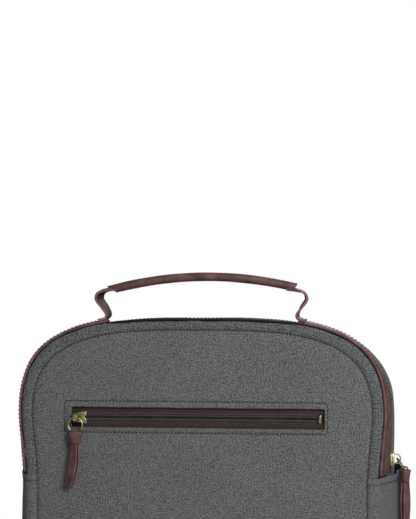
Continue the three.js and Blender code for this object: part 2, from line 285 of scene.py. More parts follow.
def slab(points, move):
    """A closed outline filled and extruded along a vector."""
    bm = bmesh.new()
    verts = [bm.verts.new(p) for p in points]
    face = bmesh.ops.contextual_create(bm, geom=verts)["faces"]
    made = bmesh.ops.extrude_face_region(bm, geom=face)["geom"]
    bmesh.ops.translate(bm, vec=move, verts=[v for v in made if isinstance(v, bmesh.types.BMVert)])
    bmesh.ops.recalc_face_normals(bm, faces=bm.faces)
    return bm


def close_middle(bm, last_row):
    """Fills the hole inside the last ring of a closed loft."""
    row = bm.verts.layers.int["row"]
    tip = {v for v in bm.verts if v[row] == last_row}
    bmesh.ops.contextual_create(bm, geom=[e for e in bm.edges if set(e.verts) <= tip])


def wobble(point, size, amount, seed=0.0):
    """A smooth random value at a point, for cloth that isn't machined."""
    return amount * noise.noise(point / size + Vector((seed, seed, seed)))


print("helpers ready")

# %% [markdown]
# ## Camera, floor and light
# The bag stands on a pale floor in even studio light. A long lens from a little to the right
# and just above keeps the front nearly square on, and a key light from the upper right models
# the leather and the pull.

# %% Camera
LOOK_AT = Vector((0.0060, FRONT, HEIGHT + 0.0446))
CAMERA_DISTANCE = 1.6
CAMERA_TURN = math.radians(7)
CAMERA_RISE = math.radians(0.5)
FRAME_HEIGHT = 0.4152

camera_data = bpy.data.cameras.new("camera")
camera = bpy.data.objects.new("camera", camera_data)
bpy.context.collection.objects.link(camera)
back = Vector((math.sin(CAMERA_TURN) * math.cos(CAMERA_RISE),
               -math.cos(CAMERA_TURN) * math.cos(CAMERA_RISE), math.sin(CAMERA_RISE)))
camera.location = LOOK_AT + back * CAMERA_DISTANCE
camera.rotation_mode = "QUATERNION"
camera.rotation_quaternion = (-back).to_track_quat("-Z", "Y")
camera_data.sensor_width = 36
camera_data.lens = 36 * CAMERA_DISTANCE / FRAME_HEIGHT
camera_data.clip_start = 0.05
bpy.context.scene.camera = camera
bpy.context.scene.view_settings.view_transform = "Standard"


# %% Floor, world and lamps
def area_light(name, place, size, power, target=(0, 0, 0.3)):
    """A soft square lamp aimed at a point."""
    data = bpy.data.lights.new(name, "AREA")
    data.size = size
    data.energy = power
    lamp = bpy.data.objects.new(name, data)
    bpy.context.collection.objects.link(lamp)
    lamp.location = place
    lamp.rotation_mode = "QUATERNION"
    lamp.rotation_quaternion = (Vector(target) - Vector(place)).to_track_quat("-Z", "Y")
    return lamp


world = bpy.data.worlds.new("studio")
bpy.context.scene.world = world
world.use_nodes = True
sky = world.node_tree.nodes["Background"]
path = world.node_tree.nodes.new("ShaderNodeLightPath")
seen = world.node_tree.nodes.new("ShaderNodeMapRange")
seen.inputs["To Min"].default_value = 0.16
seen.inputs["To Max"].default_value = 1.0
world.node_tree.links.new(path.outputs["Is Camera Ray"], seen.inputs["Value"])
world.node_tree.links.new(seen.outputs["Result"], sky.inputs["Strength"])
sky.inputs["Color"].default_value = (1, 1, 1, 1)

area_light("key", (0.50, -0.95, 0.85), 0.45, 11.9)
area_light("fill", (-0.9, -1.6, 1.2), 0.9, 0.4)
area_light("rim", (0.4, 1.5, 1.4), 1.2, 14)

floor_bm = bmesh.new()
bmesh.ops.create_grid(floor_bm, x_segments=1, y_segments=1, size=1.1)
floor_mesh = bpy.data.meshes.new("floor")
floor_bm.to_mesh(floor_mesh)
floor_bm.free()
floor = bpy.data.objects.new("floor", floor_mesh)
bpy.context.collection.objects.link(floor)
floor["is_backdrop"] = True
print("camera", [round(v, 3) for v in camera.location])

# %% [markdown]
# ## Materials
# Each finish is a small node tree around one Principled shader. Cloth reads the UV map in
# metres, so a thread is as wide as a real thread. Leather and metal read Object coordinates.
# Values that are even over a surface are set on the shader's own sockets.


# %% Node helpers
def start_material(name, roughness, metallic=0.0, specular=0.5):
    """A new material, its node tree and its shader."""
    material = bpy.data.materials.new(name)
    material.use_nodes = True
    tree = material.node_tree
    shader = tree.nodes["Principled BSDF"]
    shader.inputs["Roughness"].default_value = roughness
    shader.inputs["Metallic"].default_value = metallic
    shader.inputs["Specular IOR Level"].default_value = specular
    return material, tree, shader


def node(tree, kind, inputs=None, **settings):
    """A node with its settings and inputs, where an input is a value or another node's socket."""
    made = tree.nodes.new(f"ShaderNode{kind}")
    for key, value in settings.items():
        setattr(made, key, value)
    for key, value in (inputs or {}).items():
        if isinstance(value, bpy.types.NodeSocket):
            tree.links.new(value, made.inputs[key])
        else:
            made.inputs[key].default_value = value
    return made


def maths(tree, operation, first, second=0.0):
    return node(tree, "Math", {0: first, 1: second}, operation=operation).outputs[0]


def mixed(tree, factor, first, second, blend="MIX"):
    """Two colours mixed by a factor."""
    made = node(tree, "Mix", data_type="RGBA", blend_type=blend)
    for number, value in ((0, factor), (6, first), (7, second)):
        if isinstance(value, bpy.types.NodeSocket):
            tree.links.new(value, made.inputs[number])
        else:
            made.inputs[number].default_value = value if number == 0 else (*value, 1)
    return made.outputs[2]


def spread(tree, value, low, high, to_low=0.0, to_high=1.0):
    """Stretches a value from one range to another."""
    inputs = {"Value": value, "From Min": low, "From Max": high, "To Min": to_low, "To Max": to_high}
    return node(tree, "MapRange", inputs).outputs[0]


def noise_at(tree, vector, size, detail=3.0, roughness=0.5, stretch=(1, 1, 1)):
    """Noise whose blobs are about `size` metres across."""
    scale = [s / size for s in stretch]
    mapping = node(tree, "Mapping", {"Vector": vector, "Scale": scale})
    inputs = {"Vector": mapping.outputs[0], "Scale": 1.0, "Detail": detail, "Roughness": roughness}
    return node(tree, "TexNoise", inputs).outputs["Fac"]


def bump(tree, shader, height, distance, strength=1.0):
    made = node(tree, "Bump", {"Height": height, "Distance": distance, "Strength": strength})
    tree.links.new(made.outputs[0], shader.inputs["Normal"])


# %% Woven cloth
def woven(name, dark, light, pitch, heather=0.5, relief=0.25, twill=False, roughness=0.92, wear=0.15,
          sheen=0.0):
    """Cloth of warp and weft threads, pitch metres apart, in a dark and a light yarn, darker in the gaps
    between threads as painted shade.
    """
    material, tree, shader = start_material(name, roughness, specular=0.25)
    shader.inputs["Sheen Weight"].default_value = sheen
    shader.inputs["Sheen Roughness"].default_value = 0.6
    weave = node(tree, "UVMap", uv_map="weave").outputs[0]
    split = node(tree, "SeparateXYZ", {"Vector": weave})
    turn = math.pi / pitch
    warp = maths(tree, "ABSOLUTE", maths(tree, "SINE", maths(tree, "MULTIPLY", split.outputs[0], turn)))
    weft = maths(tree, "ABSOLUTE", maths(tree, "SINE", maths(tree, "MULTIPLY", split.outputs[1], turn)))
    if twill:
        slope = maths(tree, "ADD", split.outputs[0], split.outputs[1])
        over = maths(tree, "SINE", maths(tree, "MULTIPLY", slope, turn * 0.7))
        over = spread(tree, over, -0.3, 0.3)
    else:
        cells = node(tree, "Mapping", {"Vector": weave, "Scale": (1 / pitch, 1 / pitch, 1)})
        over = node(tree, "TexChecker", {"Vector": cells.outputs[0], "Scale": 1.0}).outputs["Fac"]
    warp_yarn = noise_at(tree, weave, pitch * 1.3, 2.0, stretch=(1, 0.16, 1))
    weft_yarn = noise_at(tree, weave, pitch * 1.3, 2.0, stretch=(0.16, 1, 1))
    yarn = node(tree, "Mix", {0: over, 2: warp_yarn, 3: weft_yarn}).outputs[0]
    crown = node(tree, "Mix", {0: over, 2: warp, 3: weft}).outputs[0]
    fleck = noise_at(tree, weave, pitch * 1.25, 2.0, 0.6)
    cloud = noise_at(tree, weave, 0.045, 4.0, 0.6)
    tone = maths(tree, "ADD", spread(tree, yarn, 0.3, 0.7, 0.0, heather),
                 spread(tree, fleck, 0.36, 0.64, -0.12, 0.62))
    # Painted shade: darker in the gaps between threads, where the bump is lowest, and lighter on the thread
    # crowns.
    tone = maths(tree, "ADD", tone, spread(tree, crown, 0.0, 1.0, -0.32, 0.12))
    tone = maths(tree, "ADD", tone, spread(tree, cloud, 0.3, 0.7, -wear, wear))
    colour = mixed(tree, spread(tree, tone, 0.0, 1.0), dark, light)
    tree.links.new(colour, shader.inputs["Base Color"])
    height = maths(tree, "ADD", crown, spread(tree, fleck, 0.2, 0.8, 0.0, 0.6))
    bump(tree, shader, height, relief * pitch, 0.7)
    return material


canvas = woven("canvas", (0.024, 0.0245, 0.025), (0.215, 0.218, 0.220), 0.85 * MM, wear=0.04, sheen=0.05)
canvas_border = woven("canvas_border", (0.018, 0.019, 0.0195), (0.205, 0.209, 0.210), 1.0 * MM,
                      twill=True, relief=0.5, wear=0.04, sheen=0.05)
black_canvas = woven("black_canvas", (0.004, 0.004, 0.004), (0.016, 0.016, 0.016), 0.8 * MM, wear=0.05)
navy_canvas = woven("navy_canvas", (0.004, 0.006, 0.010), (0.022, 0.030, 0.040), 0.8 * MM, wear=0.05)
zip_tape = woven("zip_tape", (0.020, 0.013, 0.011), (0.075, 0.052, 0.046), 0.45 * MM, wear=0.1)
black_tape = woven("black_tape", (0.003, 0.003, 0.003), (0.018, 0.016, 0.015), 0.45 * MM, wear=0.05)
lining_cloth = woven("lining_cloth", (0.02, 0.018, 0.016), (0.07, 0.062, 0.056), 0.5 * MM, wear=0.05)
webbing_cloth = woven("webbing_cloth", (0.004, 0.004, 0.005), (0.030, 0.030, 0.032), 1.3 * MM,
                      relief=0.5, roughness=0.75, wear=0.05)


# %% Spacer mesh for the back pad
def spacer_mesh():
    """Open knit over foam: rows of small dark holes."""
    material, tree, shader = start_material("spacer_mesh", 0.85, specular=0.25)
    weave = node(tree, "UVMap", uv_map="weave").outputs[0]
    cells = node(tree, "Mapping", {"Vector": weave, "Scale": (380, 520, 1)})
    inputs = {"Vector": cells.outputs[0], "Scale": 1.0, "Randomness": 0.12}
    hole = node(tree, "TexVoronoi", inputs, voronoi_dimensions="2D").outputs["Distance"]
    thread = spread(tree, hole, 0.22, 0.42)
    cloud = noise_at(tree, weave, 0.02, 3.0)
    colour = mixed(tree, thread, (0.004, 0.004, 0.004), (0.045, 0.047, 0.05))
    colour = mixed(tree, spread(tree, cloud, 0.35, 0.65, 0.0, 0.5), colour, (0.03, 0.031, 0.034))
    tree.links.new(colour, shader.inputs["Base Color"])
    bump(tree, shader, thread, 0.8 * MM, 0.8)
    return material


# %% Leather, its raw edges and its thread
def leather(name, dark, light, roughness=0.52, grain=0.9, relief=0.16):
    """Oiled leather: pebbled grain, soft creases, and cloudy colour where it has been handled; grain hollows
    and crease valleys are darker as painted shade.
    """
    material, tree, shader = start_material(name, roughness, specular=0.4)
    shader.inputs["Coat Weight"].default_value = 0.08
    shader.inputs["Coat Roughness"].default_value = 0.35
    spot = node(tree, "TexCoord").outputs["Object"]
    cells = node(tree, "Mapping", {"Vector": spot, "Scale": [1 / (grain * MM)] * 3})
    pebble = node(tree, "TexVoronoi", {"Vector": cells.outputs[0], "Scale": 1.0}).outputs["Distance"]
    cloud = noise_at(tree, spot, 0.009, 5.0, 0.62)
    crease = noise_at(tree, spot, 0.004, 4.0, 0.6, stretch=(0.5, 1.6, 0.5))
    # Painted shade: darker in the grain's hollows and the creases' valleys, and lighter on their tops.
    tone = maths(tree, "ADD", spread(tree, cloud, 0.32, 0.68, 0.0, 0.8),
                 spread(tree, pebble, 0.1, 0.8, 0.12, -0.12))
    tone = maths(tree, "ADD", tone, spread(tree, crease, 0.35, 0.65, -0.12, 0.16))
    colour = mixed(tree, spread(tree, tone, 0.0, 1.0), dark, light)
    tree.links.new(colour, shader.inputs["Base Color"])
    rough = spread(tree, cloud, 0.3, 0.7, roughness + 0.1, roughness - 0.08)
    tree.links.new(rough, shader.inputs["Roughness"])
    height = maths(tree, "ADD", spread(tree, pebble, 0.0, 0.9, 1.0, 0.0),
                   spread(tree, crease, 0.2, 0.8, 0.0, 1.4))
    bump(tree, shader, height, relief * MM, 0.8)
    return material


brown_leather = leather("brown_leather", (0.060, 0.026, 0.025), (0.165, 0.080, 0.076))
# The leather's back face: its flesh side is rougher, and its darkness is painted shade for faces turned
# inwards, underneath and between layers.
leather_back_painted_shade = leather("leather_back_painted_shade", (0.025, 0.014, 0.012), (0.060, 0.036, 0.030), 0.85, 0.4)
leather_edge = leather("leather_edge", (0.11, 0.045, 0.050), (0.27, 0.130, 0.150), 0.7, 0.3, 0.1)
LEATHER_FACES = [brown_leather, leather_edge, leather_back_painted_shade]
base_leather = leather("base_leather", (0.050, 0.022, 0.020), (0.150, 0.075, 0.068), 0.55, 1.1, 0.22)


def thread(name, dark, light):
    """Waxed thread: two plies twisted round each other."""
    material, tree, shader = start_material(name, 0.6, specular=0.35)
    spot = node(tree, "TexCoord").outputs["Object"]
    ply = noise_at(tree, spot, 0.0006, 2.0)
    colour = mixed(tree, spread(tree, ply, 0.35, 0.65), dark, light)
    tree.links.new(colour, shader.inputs["Base Color"])
    bump(tree, shader, ply, 0.1 * MM)
    return material


brown_thread = thread("brown_thread", (0.014, 0.005, 0.005), (0.060, 0.020, 0.019))
black_thread = thread("black_thread", (0.004, 0.004, 0.004), (0.022, 0.021, 0.020))


# %% Metal and plastic
def aged_metal(name, worn, dark, roughness=0.3):
    """Plated metal, brighter where it is rubbed and dull in the hollows."""
    material, tree, shader = start_material(name, roughness, metallic=1.0)
    spot = node(tree, "TexCoord").outputs["Object"]
    patina = noise_at(tree, spot, 0.0035, 5.0, 0.65)
    scratch = noise_at(tree, spot, 0.0012, 3.0, 0.6, stretch=(0.3, 1.5, 1.5))
    colour = mixed(tree, spread(tree, patina, 0.38, 0.62), dark, worn)
    tree.links.new(colour, shader.inputs["Base Color"])
    tree.links.new(spread(tree, patina, 0.3, 0.7, roughness + 0.18, roughness - 0.06),
                   shader.inputs["Roughness"])
    bump(tree, shader, scratch, 0.04 * MM, 0.6)
    return material


def moulded(name, dark, light, roughness=0.42):
    """Moulded plastic with a fine spark-eroded grain."""
    material, tree, shader = start_material(name, roughness, specular=0.45)
    spot = node(tree, "TexCoord").outputs["Object"]
    grain = noise_at(tree, spot, 0.0005, 2.0)
    cloud = noise_at(tree, spot, 0.006, 3.0)
    tree.links.new(mixed(tree, spread(tree, cloud, 0.35, 0.65), dark, light), shader.inputs["Base Color"])
    tree.links.new(spread(tree, cloud, 0.3, 0.7, roughness - 0.06, roughness + 0.08),
                   shader.inputs["Roughness"])
    bump(tree, shader, grain, 0.05 * MM, 0.7)
    return material


antique_brass = aged_metal("antique_brass", (0.56, 0.50, 0.27), (0.25, 0.225, 0.11))
tooth_brass = aged_metal("tooth_brass", (0.60, 0.52, 0.22), (0.22, 0.19, 0.07), 0.34)
coil_nylon = moulded("coil_nylon", (0.008, 0.008, 0.010), (0.024, 0.021, 0.022), 0.35)
coil_yarn = thread("coil_yarn", (0.08, 0.058, 0.050), (0.24, 0.18, 0.155))
buckle_plastic = moulded("buckle_plastic", (0.006, 0.006, 0.006), (0.016, 0.016, 0.017))
board_plastic = moulded("board_plastic", (0.012, 0.012, 0.012), (0.03, 0.03, 0.03), 0.6)
pad_foam = moulded("pad_foam", (0.03, 0.03, 0.03), (0.05, 0.05, 0.05), 0.95)
pad_mesh = spacer_mesh()


def pale_floor():
    """Seamless studio paper, with the faintest cloud."""
    material, tree, shader = start_material("pale_floor", 0.8, specular=0.2)
    spot = node(tree, "TexCoord").outputs["Object"]
    cloud = noise_at(tree, spot, 0.4, 2.0)
    tree.links.new(mixed(tree, cloud, (0.80, 0.80, 0.80), (0.86, 0.86, 0.86)), shader.inputs["Base Color"])
    return material


floor_mesh.materials.append(pale_floor())
print("materials:", len(bpy.data.materials))

# %% [markdown]
# ## How the cloth hangs
# Three soft shapes run through many pieces. The side pockets pull the front half in a little
# towards their hems, the front edge is rounded, and the top sags behind the zip. They are one
# function that moves a point, so pieces that touch move together.


# %% Soft shape of the bag
def ease(value, low, high):
    """0 below low, 1 above high, and a smooth step between."""
    t = min(max((value - low) / (high - low), 0.0), 1.0)
    return t * t * (3 - 2 * t)


def soften(point):
    """Where a point of the plain frame lies on the soft bag."""
    x, y, z = point
    pinch = (1 - ease(z, HEM - 5 * MM, HEM + 58 * MM)) * ease(z, 70 * MM, 150 * MM)
    near_front = 1 - ease(y, FRONT, -12 * MM)
    near_side = ease(abs(x), 60 * MM, 140 * MM)
    x -= math.copysign(4.5 * MM, x) * pinch * near_front * near_side
    rounding = 1 - ease(y, FRONT + MM, FRONT + 26 * MM)
    rounding += (1 - rounding) * ease(z, HEIGHT - 70 * MM, HEIGHT - 25 * MM)
    crown = max((z - HEIGHT + CROWN) / CROWN, 0.0)
    x -= 3.2 * MM * rounding * x / HALF_WIDTH
    sag = 6.5 * MM - 2.6 * MM * (1 - ease(abs(x), 52 * MM, 100 * MM))
    z -= (3.0 * MM * rounding + sag * ease(y, FRONT + 8 * MM, 45 * MM)) * crown
    return Vector((x, y, z))


ZIP_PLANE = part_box("main_teeth_rear")[0].y
STITCH_INSET = 9.3 * MM


def rows_at(outline, profile):
    """One row of an outline for each (inset, depth) of a profile, softened."""
    return [[soften((p.x, depth, p.z)) for p in outline(inset)] for inset, depth in profile]


# %% Stitches
def stitches(path, outward, pitch=3.2 * MM, length=2.3 * MM, width=0.75 * MM, lift=0.15 * MM, closed=False):
    """Short stitches along a path. outward is one direction, or a function of a point."""
    total = sum((b - a).length for a, b in zip(path, path[1:]))
    count = max(2, int(total / pitch))
    places = resample(path, count + 1, closed)
    bm = bmesh.new()
    for a, b in zip(places, places[1:]):
        middle = (a + b) / 2
        along = (b - a).normalized()
        out = Vector(outward(middle) if callable(outward) else outward).normalized()
        side = out.cross(along).normalized()
        out = along.cross(side)
        turn = Matrix((along, side, out)).transposed().to_4x4()
        size = Matrix.Diagonal((length / 2, width / 2, width / 3, 1))
        place = Matrix.Translation(middle + out * lift) @ turn @ size
        bmesh.ops.create_uvsphere(bm, u_segments=6, v_segments=4, radius=1, matrix=place)
    return bm


def finish_mesh(obj):
    """Applies the modifiers, so that the mesh holds the final points."""
    graph = bpy.context.evaluated_depsgraph_get()
    mesh = bpy.data.meshes.new_from_object(obj.evaluated_get(graph))
    old = obj.data
    obj.modifiers.clear()
    obj.data = mesh
    bpy.data.meshes.remove(old)
    return obj


print("soft shape ready")

# %% [markdown]
# ## Front panel
# On the real bag this is one cut of heavy canvas, turned at its edge and topstitched all round,
# so a raised border stands outside a stitched valley. It is built as rings of the outline, from
# the seam inwards. The zip window is cut with four planes.

# %% Front panel
coil_low, coil_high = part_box("pocket_coil")
frame_low, frame_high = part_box("pocket_frame")
WINDOW_X = (frame_low.x + 6.6 * MM, frame_high.x - 2.4 * MM)
WINDOW_HALF = 8.15 * MM
window_middle = (coil_low.z + coil_high.z) / 2
WINDOW_Z = (window_middle - WINDOW_HALF, window_middle + WINDOW_HALF)

RING_COUNT = 320
border = [(1.6, 2.4), (0.5, 1.2), (0.7, 0.2), (1.9, -0.75), (3.8, -1.25), (6.2, -1.25), (8.0, -0.7),
          (8.8, 0.15), (9.3, 0.75), (9.9, 0.15), (11, -0.5), (13, -0.8), (16, -0.9), (20, -0.9),
          (25, -0.9), (31, -0.9), (38, -0.9)]


def field_bulge(point):
    """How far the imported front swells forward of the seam."""
    across = 1 - ease(abs(point.x), 60 * MM, HALF_WIDTH)
    low = ease(point.z, 20 * MM, 90 * MM) * (1 - ease(point.z, 170 * MM, 262 * MM))
    return 5.0 * MM * across * low


def cloth_ripple(point, inset):
    """Small unevenness: pucker at the stitches and slow waves in the field."""
    pucker = math.exp(-((inset - STITCH_INSET) / (5 * MM)) ** 2)
    near_window = (ease(point.x, -0.135, -0.112) * (1 - ease(point.x, 0.105, 0.130))
                   * ease(point.z, 0.265, 0.282) * (1 - ease(point.z, 0.313, 0.330)))
    slow = wobble(point, 55 * MM, 0.75 * MM, 3.1) * (1 - near_window)
    return slow * ease(inset, 9 * MM, 30 * MM) + wobble(point, 9 * MM, 0.30 * MM, 8.4) * pucker


def panel_ring(inset, depth):
    ring = []
    for p in whole_outline(inset, RING_COUNT):
        spot = Vector((p.x, FRONT + depth, p.z))
        spot.y -= field_bulge(spot) * ease(inset, 4 * MM, 30 * MM) + cloth_ripple(spot, inset)
        wave = wobble(spot, 20 * MM, 1.0 * MM, 5.2) - 1.6 * MM * (1 - ease(abs(spot.x), 66 * MM, 84 * MM))
        wave *= 1 - ease(inset, 2 * MM, 7 * MM)
        if p.z > HEIGHT - 40 * MM:
            spot.z += wave
        ring.append(soften(spot))
    return ring


rings = [panel_ring(inset * MM, depth * MM) for inset, depth in border]
innermost = whole_outline(38 * MM, RING_COUNT)
centre = Vector((0, FRONT, HEIGHT / 2))
for step in range(1, 24):
    share = 1 - step / 24.5
    ring = []
    for p in innermost:
        spot = centre.lerp(Vector((p.x, FRONT, p.z)), share)
        spot.y = FRONT - 0.9 * MM - field_bulge(spot) - cloth_ripple(spot, 0.05)
        ring.append(soften(spot))
    rings.append(ring)

panel_bm = loft(rings, closed=True)
close_middle(panel_bm, len(rings) - 1)
for normal, at in (((1, 0, 0), WINDOW_X), ((0, 0, 1), WINDOW_Z)):
    for value in at:
        everything = panel_bm.verts[:] + panel_bm.edges[:] + panel_bm.faces[:]
        bmesh.ops.bisect_plane(panel_bm, geom=everything, dist=1e-7,
                               plane_co=[n * value for n in normal], plane_no=normal)
inside = []
for face in panel_bm.faces:
    middle = face.calc_center_median()
    if WINDOW_X[0] < middle.x < WINDOW_X[1] and WINDOW_Z[0] < middle.z < WINDOW_Z[1]:
        inside.append(face)
bmesh.ops.delete(panel_bm, geom=inside, context="FACES")
flat_uv(panel_bm, 0, 2)
face_towards(panel_bm, (0, -1, 0))
place_layer = panel_bm.verts.layers.int["row"]
for face in panel_bm.faces:
    if all(v[place_layer] <= 8 for v in face.verts):
        face.material_index = 1
front_panel = add_piece("front_panel", panel_bm, [canvas, canvas_border], None,
                        ("front_panel_lower", "front_panel_upper"))
thicken(front_panel, 1.4 * MM)
finish_mesh(front_panel)
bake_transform(front_panel)
print("front panel:", len(front_panel.data.polygons), "faces")

# %% Stitching round the front panel
seam_path = []
for p in whole_outline(STITCH_INSET, 900):
    spot = Vector((p.x, FRONT + 0.25 * MM, p.z))
    spot.y -= field_bulge(spot) * ease(STITCH_INSET, 4 * MM, 30 * MM) + cloth_ripple(spot, STITCH_INSET)
    seam_path.append(soften(spot))
seam = stitches(seam_path, (0, -1, 0), 3.0 * MM, 2.4 * MM, 0.9 * MM, closed=True)
front_stitches = add_piece("front_panel_stitches", seam, black_thread, None)
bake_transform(front_stitches)

# %% [markdown]
# ## Front pocket zip
# The window's edges are folded lips of the same canvas, topstitched in brown. Behind them two
# tapes carry a nylon coil. The coil is modelled turn by turn, because its fine ribs catch light.


# %% Folded lips round the window
def rectangle_ring(low, high, radius, depth, per_side=60):
    """A rectangle with rounded corners, as a closed row of points, with the same count each time."""
    (x0, z0), (x1, z1) = low, high
    corners = [(x0, z0, math.pi), (x1, z0, 1.5 * math.pi), (x1, z1, 0), (x0, z1, 0.5 * math.pi)]
    points = []
    arcs = []
    for cx, cz, start in corners:
        ox = cx + radius if cx == x0 else cx - radius
        oz = cz + radius if cz == z0 else cz - radius
        arcs.append([Vector((ox + radius * math.cos(start + math.pi / 2 * i / 4), depth,
                             oz + radius * math.sin(start + math.pi / 2 * i / 4))) for i in range(5)])
    for i, arc in enumerate(arcs):
        following = arcs[(i + 1) % 4][0]
        run = per_side if i % 2 == 0 else per_side // 6
        points += arc
        points += [arc[-1].lerp(following, k / run) for k in range(1, run)]
    return points


outer_low, outer_high = (frame_low.x, frame_low.z), (frame_high.x, frame_high.z)
inner_low, inner_high = (WINDOW_X[0], WINDOW_Z[0]), (WINDOW_X[1], WINDOW_Z[1])


def lip_row(share, depth, radius):
    low = [a + (b - a) * share for a, b in zip(outer_low, inner_low)]
    high = [a + (b - a) * share for a, b in zip(outer_high, inner_high)]
    row = rectangle_ring(low, high, radius * MM, FRONT + depth * MM)
    for p in row:
        p.y -= wobble(p, 12 * MM, 0.16 * MM, 1.7) * min(share * 3, 1)
        p.z += wobble(p, 22 * MM, 0.35 * MM, 6.0) * share
    return row


lip_profile = [(-0.16, -0.55, 2.2), (-0.05, -0.80, 2.0), (0.06, -0.70, 1.8), (0.14, -0.75, 1.7),
               (0.3, -1.35, 1.6), (0.55, -1.75, 1.5), (0.8, -1.75, 1.3), (0.94, -1.55, 1.2),
               (1.0, -1.05, 1.1), (1.0, -0.3, 1.1), (0.97, 0.5, 1.1), (0.8, 1.2, 1.1)]
lips_bm = loft([lip_row(*entry) for entry in lip_profile], closed=True)
flat_uv(lips_bm, 0, 2)
face_towards(lips_bm, (0, -1, 0))
lips = add_piece("pocket_window_lips", lips_bm, canvas, "flap", ("pocket_frame",))
thicken(lips, 0.5 * MM)
lip_seam = [p + Vector((0, -0.10 * MM, 0)) for p in lip_row(0.08, -0.78, 1.8)]
add_piece("pocket_window_stitches",
          stitches(lip_seam + lip_seam[:1], (0, -1, 0), 2.9 * MM, 2.2 * MM, 1.1 * MM, 0.3 * MM),
          brown_thread, "flap")

# %% Pocket tapes, coil, yarn and stop
for name in ("lower", "upper"):
    low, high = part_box(f"pocket_tape_{name}")
    side = -1 if name == "lower" else 1
    inner, outer = (high.z, low.z) if name == "lower" else (low.z, high.z)
    steps = ((-2.2, 1.2), (-0.2, 0.9), (0.5, 0.2), (1.2, -0.2), (2.6, -0.1))
    profile = [(inner + side * across * MM, depth) for across, depth in steps]
    profile += [(outer - side * 1.5 * MM, 0.1), (outer, 0.25)]
    rows = []
    for z, depth in profile:
        row = [Vector((low.x + (high.x - low.x) * i / 90, low.y + depth * MM, z)) for i in range(91)]
        rows.append([p + Vector((0, wobble(p, 20 * MM, 0.2 * MM, 2.2), 0)) for p in row])
    tape_bm = loft(rows)
    flat_uv(tape_bm, 0, 2)
    face_towards(tape_bm, (0, -1, 0))
    tape = add_piece(f"pocket_zip_tape_{name}", tape_bm, zip_tape, "flap",
                     (f"pocket_tape_{name}",))
    thicken(tape, 0.6 * MM)

coil_bm = bmesh.new()
yarn_bm = bmesh.new()
COIL_PITCH = 1.35 * MM
coil_y = coil_low.y + 1.1 * MM
turns = int((coil_high.x - coil_low.x) / COIL_PITCH)
for i in range(turns):
    x = coil_low.x + (i + 0.5) * COIL_PITCH
    for side in (-1, 1):
        shift = COIL_PITCH / 4 * side
        tilt = Matrix.Rotation(math.radians(9 * side), 4, "Y")
        size = Matrix.Diagonal((0.44 * MM, 0.85 * MM, 2.1 * MM, 1))
        place = Matrix.Translation((x + shift, coil_y, window_middle + side * 1.95 * MM)) @ tilt @ size
        bmesh.ops.create_uvsphere(coil_bm, u_segments=6, v_segments=5, radius=1, matrix=place)
        for row, width in ((1.7, 0.45), (3.5, 0.40)):
            size = Matrix.Diagonal((0.40 * MM, 0.26 * MM, width * MM, 1))
            spot = (x + shift - COIL_PITCH / 2, coil_y - (0.82 if row < 2 else 0.45) * MM,
                    window_middle + side * row * MM)
            place = Matrix.Translation(spot) @ size
            bmesh.ops.create_uvsphere(yarn_bm, u_segments=6, v_segments=4, radius=1, matrix=place)
core_rows = [[Vector((x, coil_y + dy * MM, window_middle + dz * MM)) for x in (coil_low.x, coil_high.x)]
             for dz, dy in ((-4.2, 0.3), (-2.0, 0.15), (0, 0.35), (2.0, 0.15), (4.2, 0.3))]
coil_bm = join_meshes([coil_bm, loft(core_rows)])
add_piece("pocket_zip_coil", coil_bm, coil_nylon, "flap", ("pocket_coil",))
add_piece("pocket_zip_yarn", yarn_bm, coil_yarn, "flap")

stop_low, stop_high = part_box("pocket_zip_stop")
stop_size = [a - b for a, b in zip(stop_high, stop_low)]
stop_size[1] *= 0.55
stop_centre = (stop_low + stop_high) / 2 - Vector((0, 0.4 * MM, 0))
add_piece("pocket_stop", block(stop_size, stop_centre, 0.7 * MM, 3), antique_brass, "flap",
          ("pocket_zip_stop",))
print("pocket zip:", turns, "coil turns")

# %% [markdown]
# ## Main zip and the cloth over the top
# A narrow black strip joins the front panel to the zip, and a wide gusset runs behind it to the
# back. Each is one skin lofted over the crown, so it bends in a single sheet as cloth does.


# %% Strips that run over the top
def over(low, count=260):
    return lambda inset: over_top(inset * MM, low, count)


ZIP_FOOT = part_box("main_teeth_rear")[0].z


def top_cloth(name, profile, low, material, body, node_name, ripple=0.0, thickness=1.2, count=260):
    """A strip of cloth over the top, from a profile of insets in millimetres and depths in metres."""
    rows = rows_at(over(low, count), profile)
    for row in rows:
        for p in row:
            swell = wobble(p, 34 * MM, ripple, 4.4)
            near_top = ease(p.z, HEIGHT - 40 * MM, HEIGHT - 8 * MM)
            swell -= 1.8 * MM * ease(p.y, ZIP_PLANE + 12 * MM, 0) * near_top
            p.x += math.copysign(swell, p.x) * ease(abs(p.x), 60 * MM, 140 * MM)
            p.z += swell * ease(p.z, HEIGHT - 90 * MM, HEIGHT)
    bm = loft(rows)
    face_towards(bm, (0, 0, 1))
    obj = add_piece(name, bm, material, body, (node_name,))
    return thicken(obj, thickness * MM)


strip_low, strip_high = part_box("front_strip")
strip_profile = [(2.2, FRONT + 2.6 * MM), (1.0, FRONT + 1.6 * MM), (0.2, FRONT + 2.2 * MM),
                 (-0.2, FRONT + 5 * MM), (-0.4, FRONT + 10 * MM), (-0.2, FRONT + 15 * MM),
                 (0.1, strip_high.y)]
top_cloth("zip_strip", strip_profile, strip_low.z, black_canvas, "flap", "front_strip",
          ripple=0.35 * MM)
tape_low, tape_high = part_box("main_tape_front")
tape_profile = [(0.5, tape_low.y), (0.3, tape_low.y + 2 * MM), (0.8, tape_high.y - MM), (1.2, ZIP_PLANE - MM)]
top_cloth("main_zip_tape_front", tape_profile, ZIP_FOOT, black_tape, "flap", "main_tape_front",
          thickness=0.8)
tape_low, tape_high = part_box("main_tape_rear")
tape_profile = [(1.2, ZIP_PLANE + MM), (0.8, tape_low.y + MM), (0.3, tape_high.y - 2 * MM),
                (0.5, tape_high.y)]
top_cloth("main_zip_tape_rear", tape_profile, ZIP_FOOT, black_tape, "bag", "main_tape_rear",
          thickness=0.8)

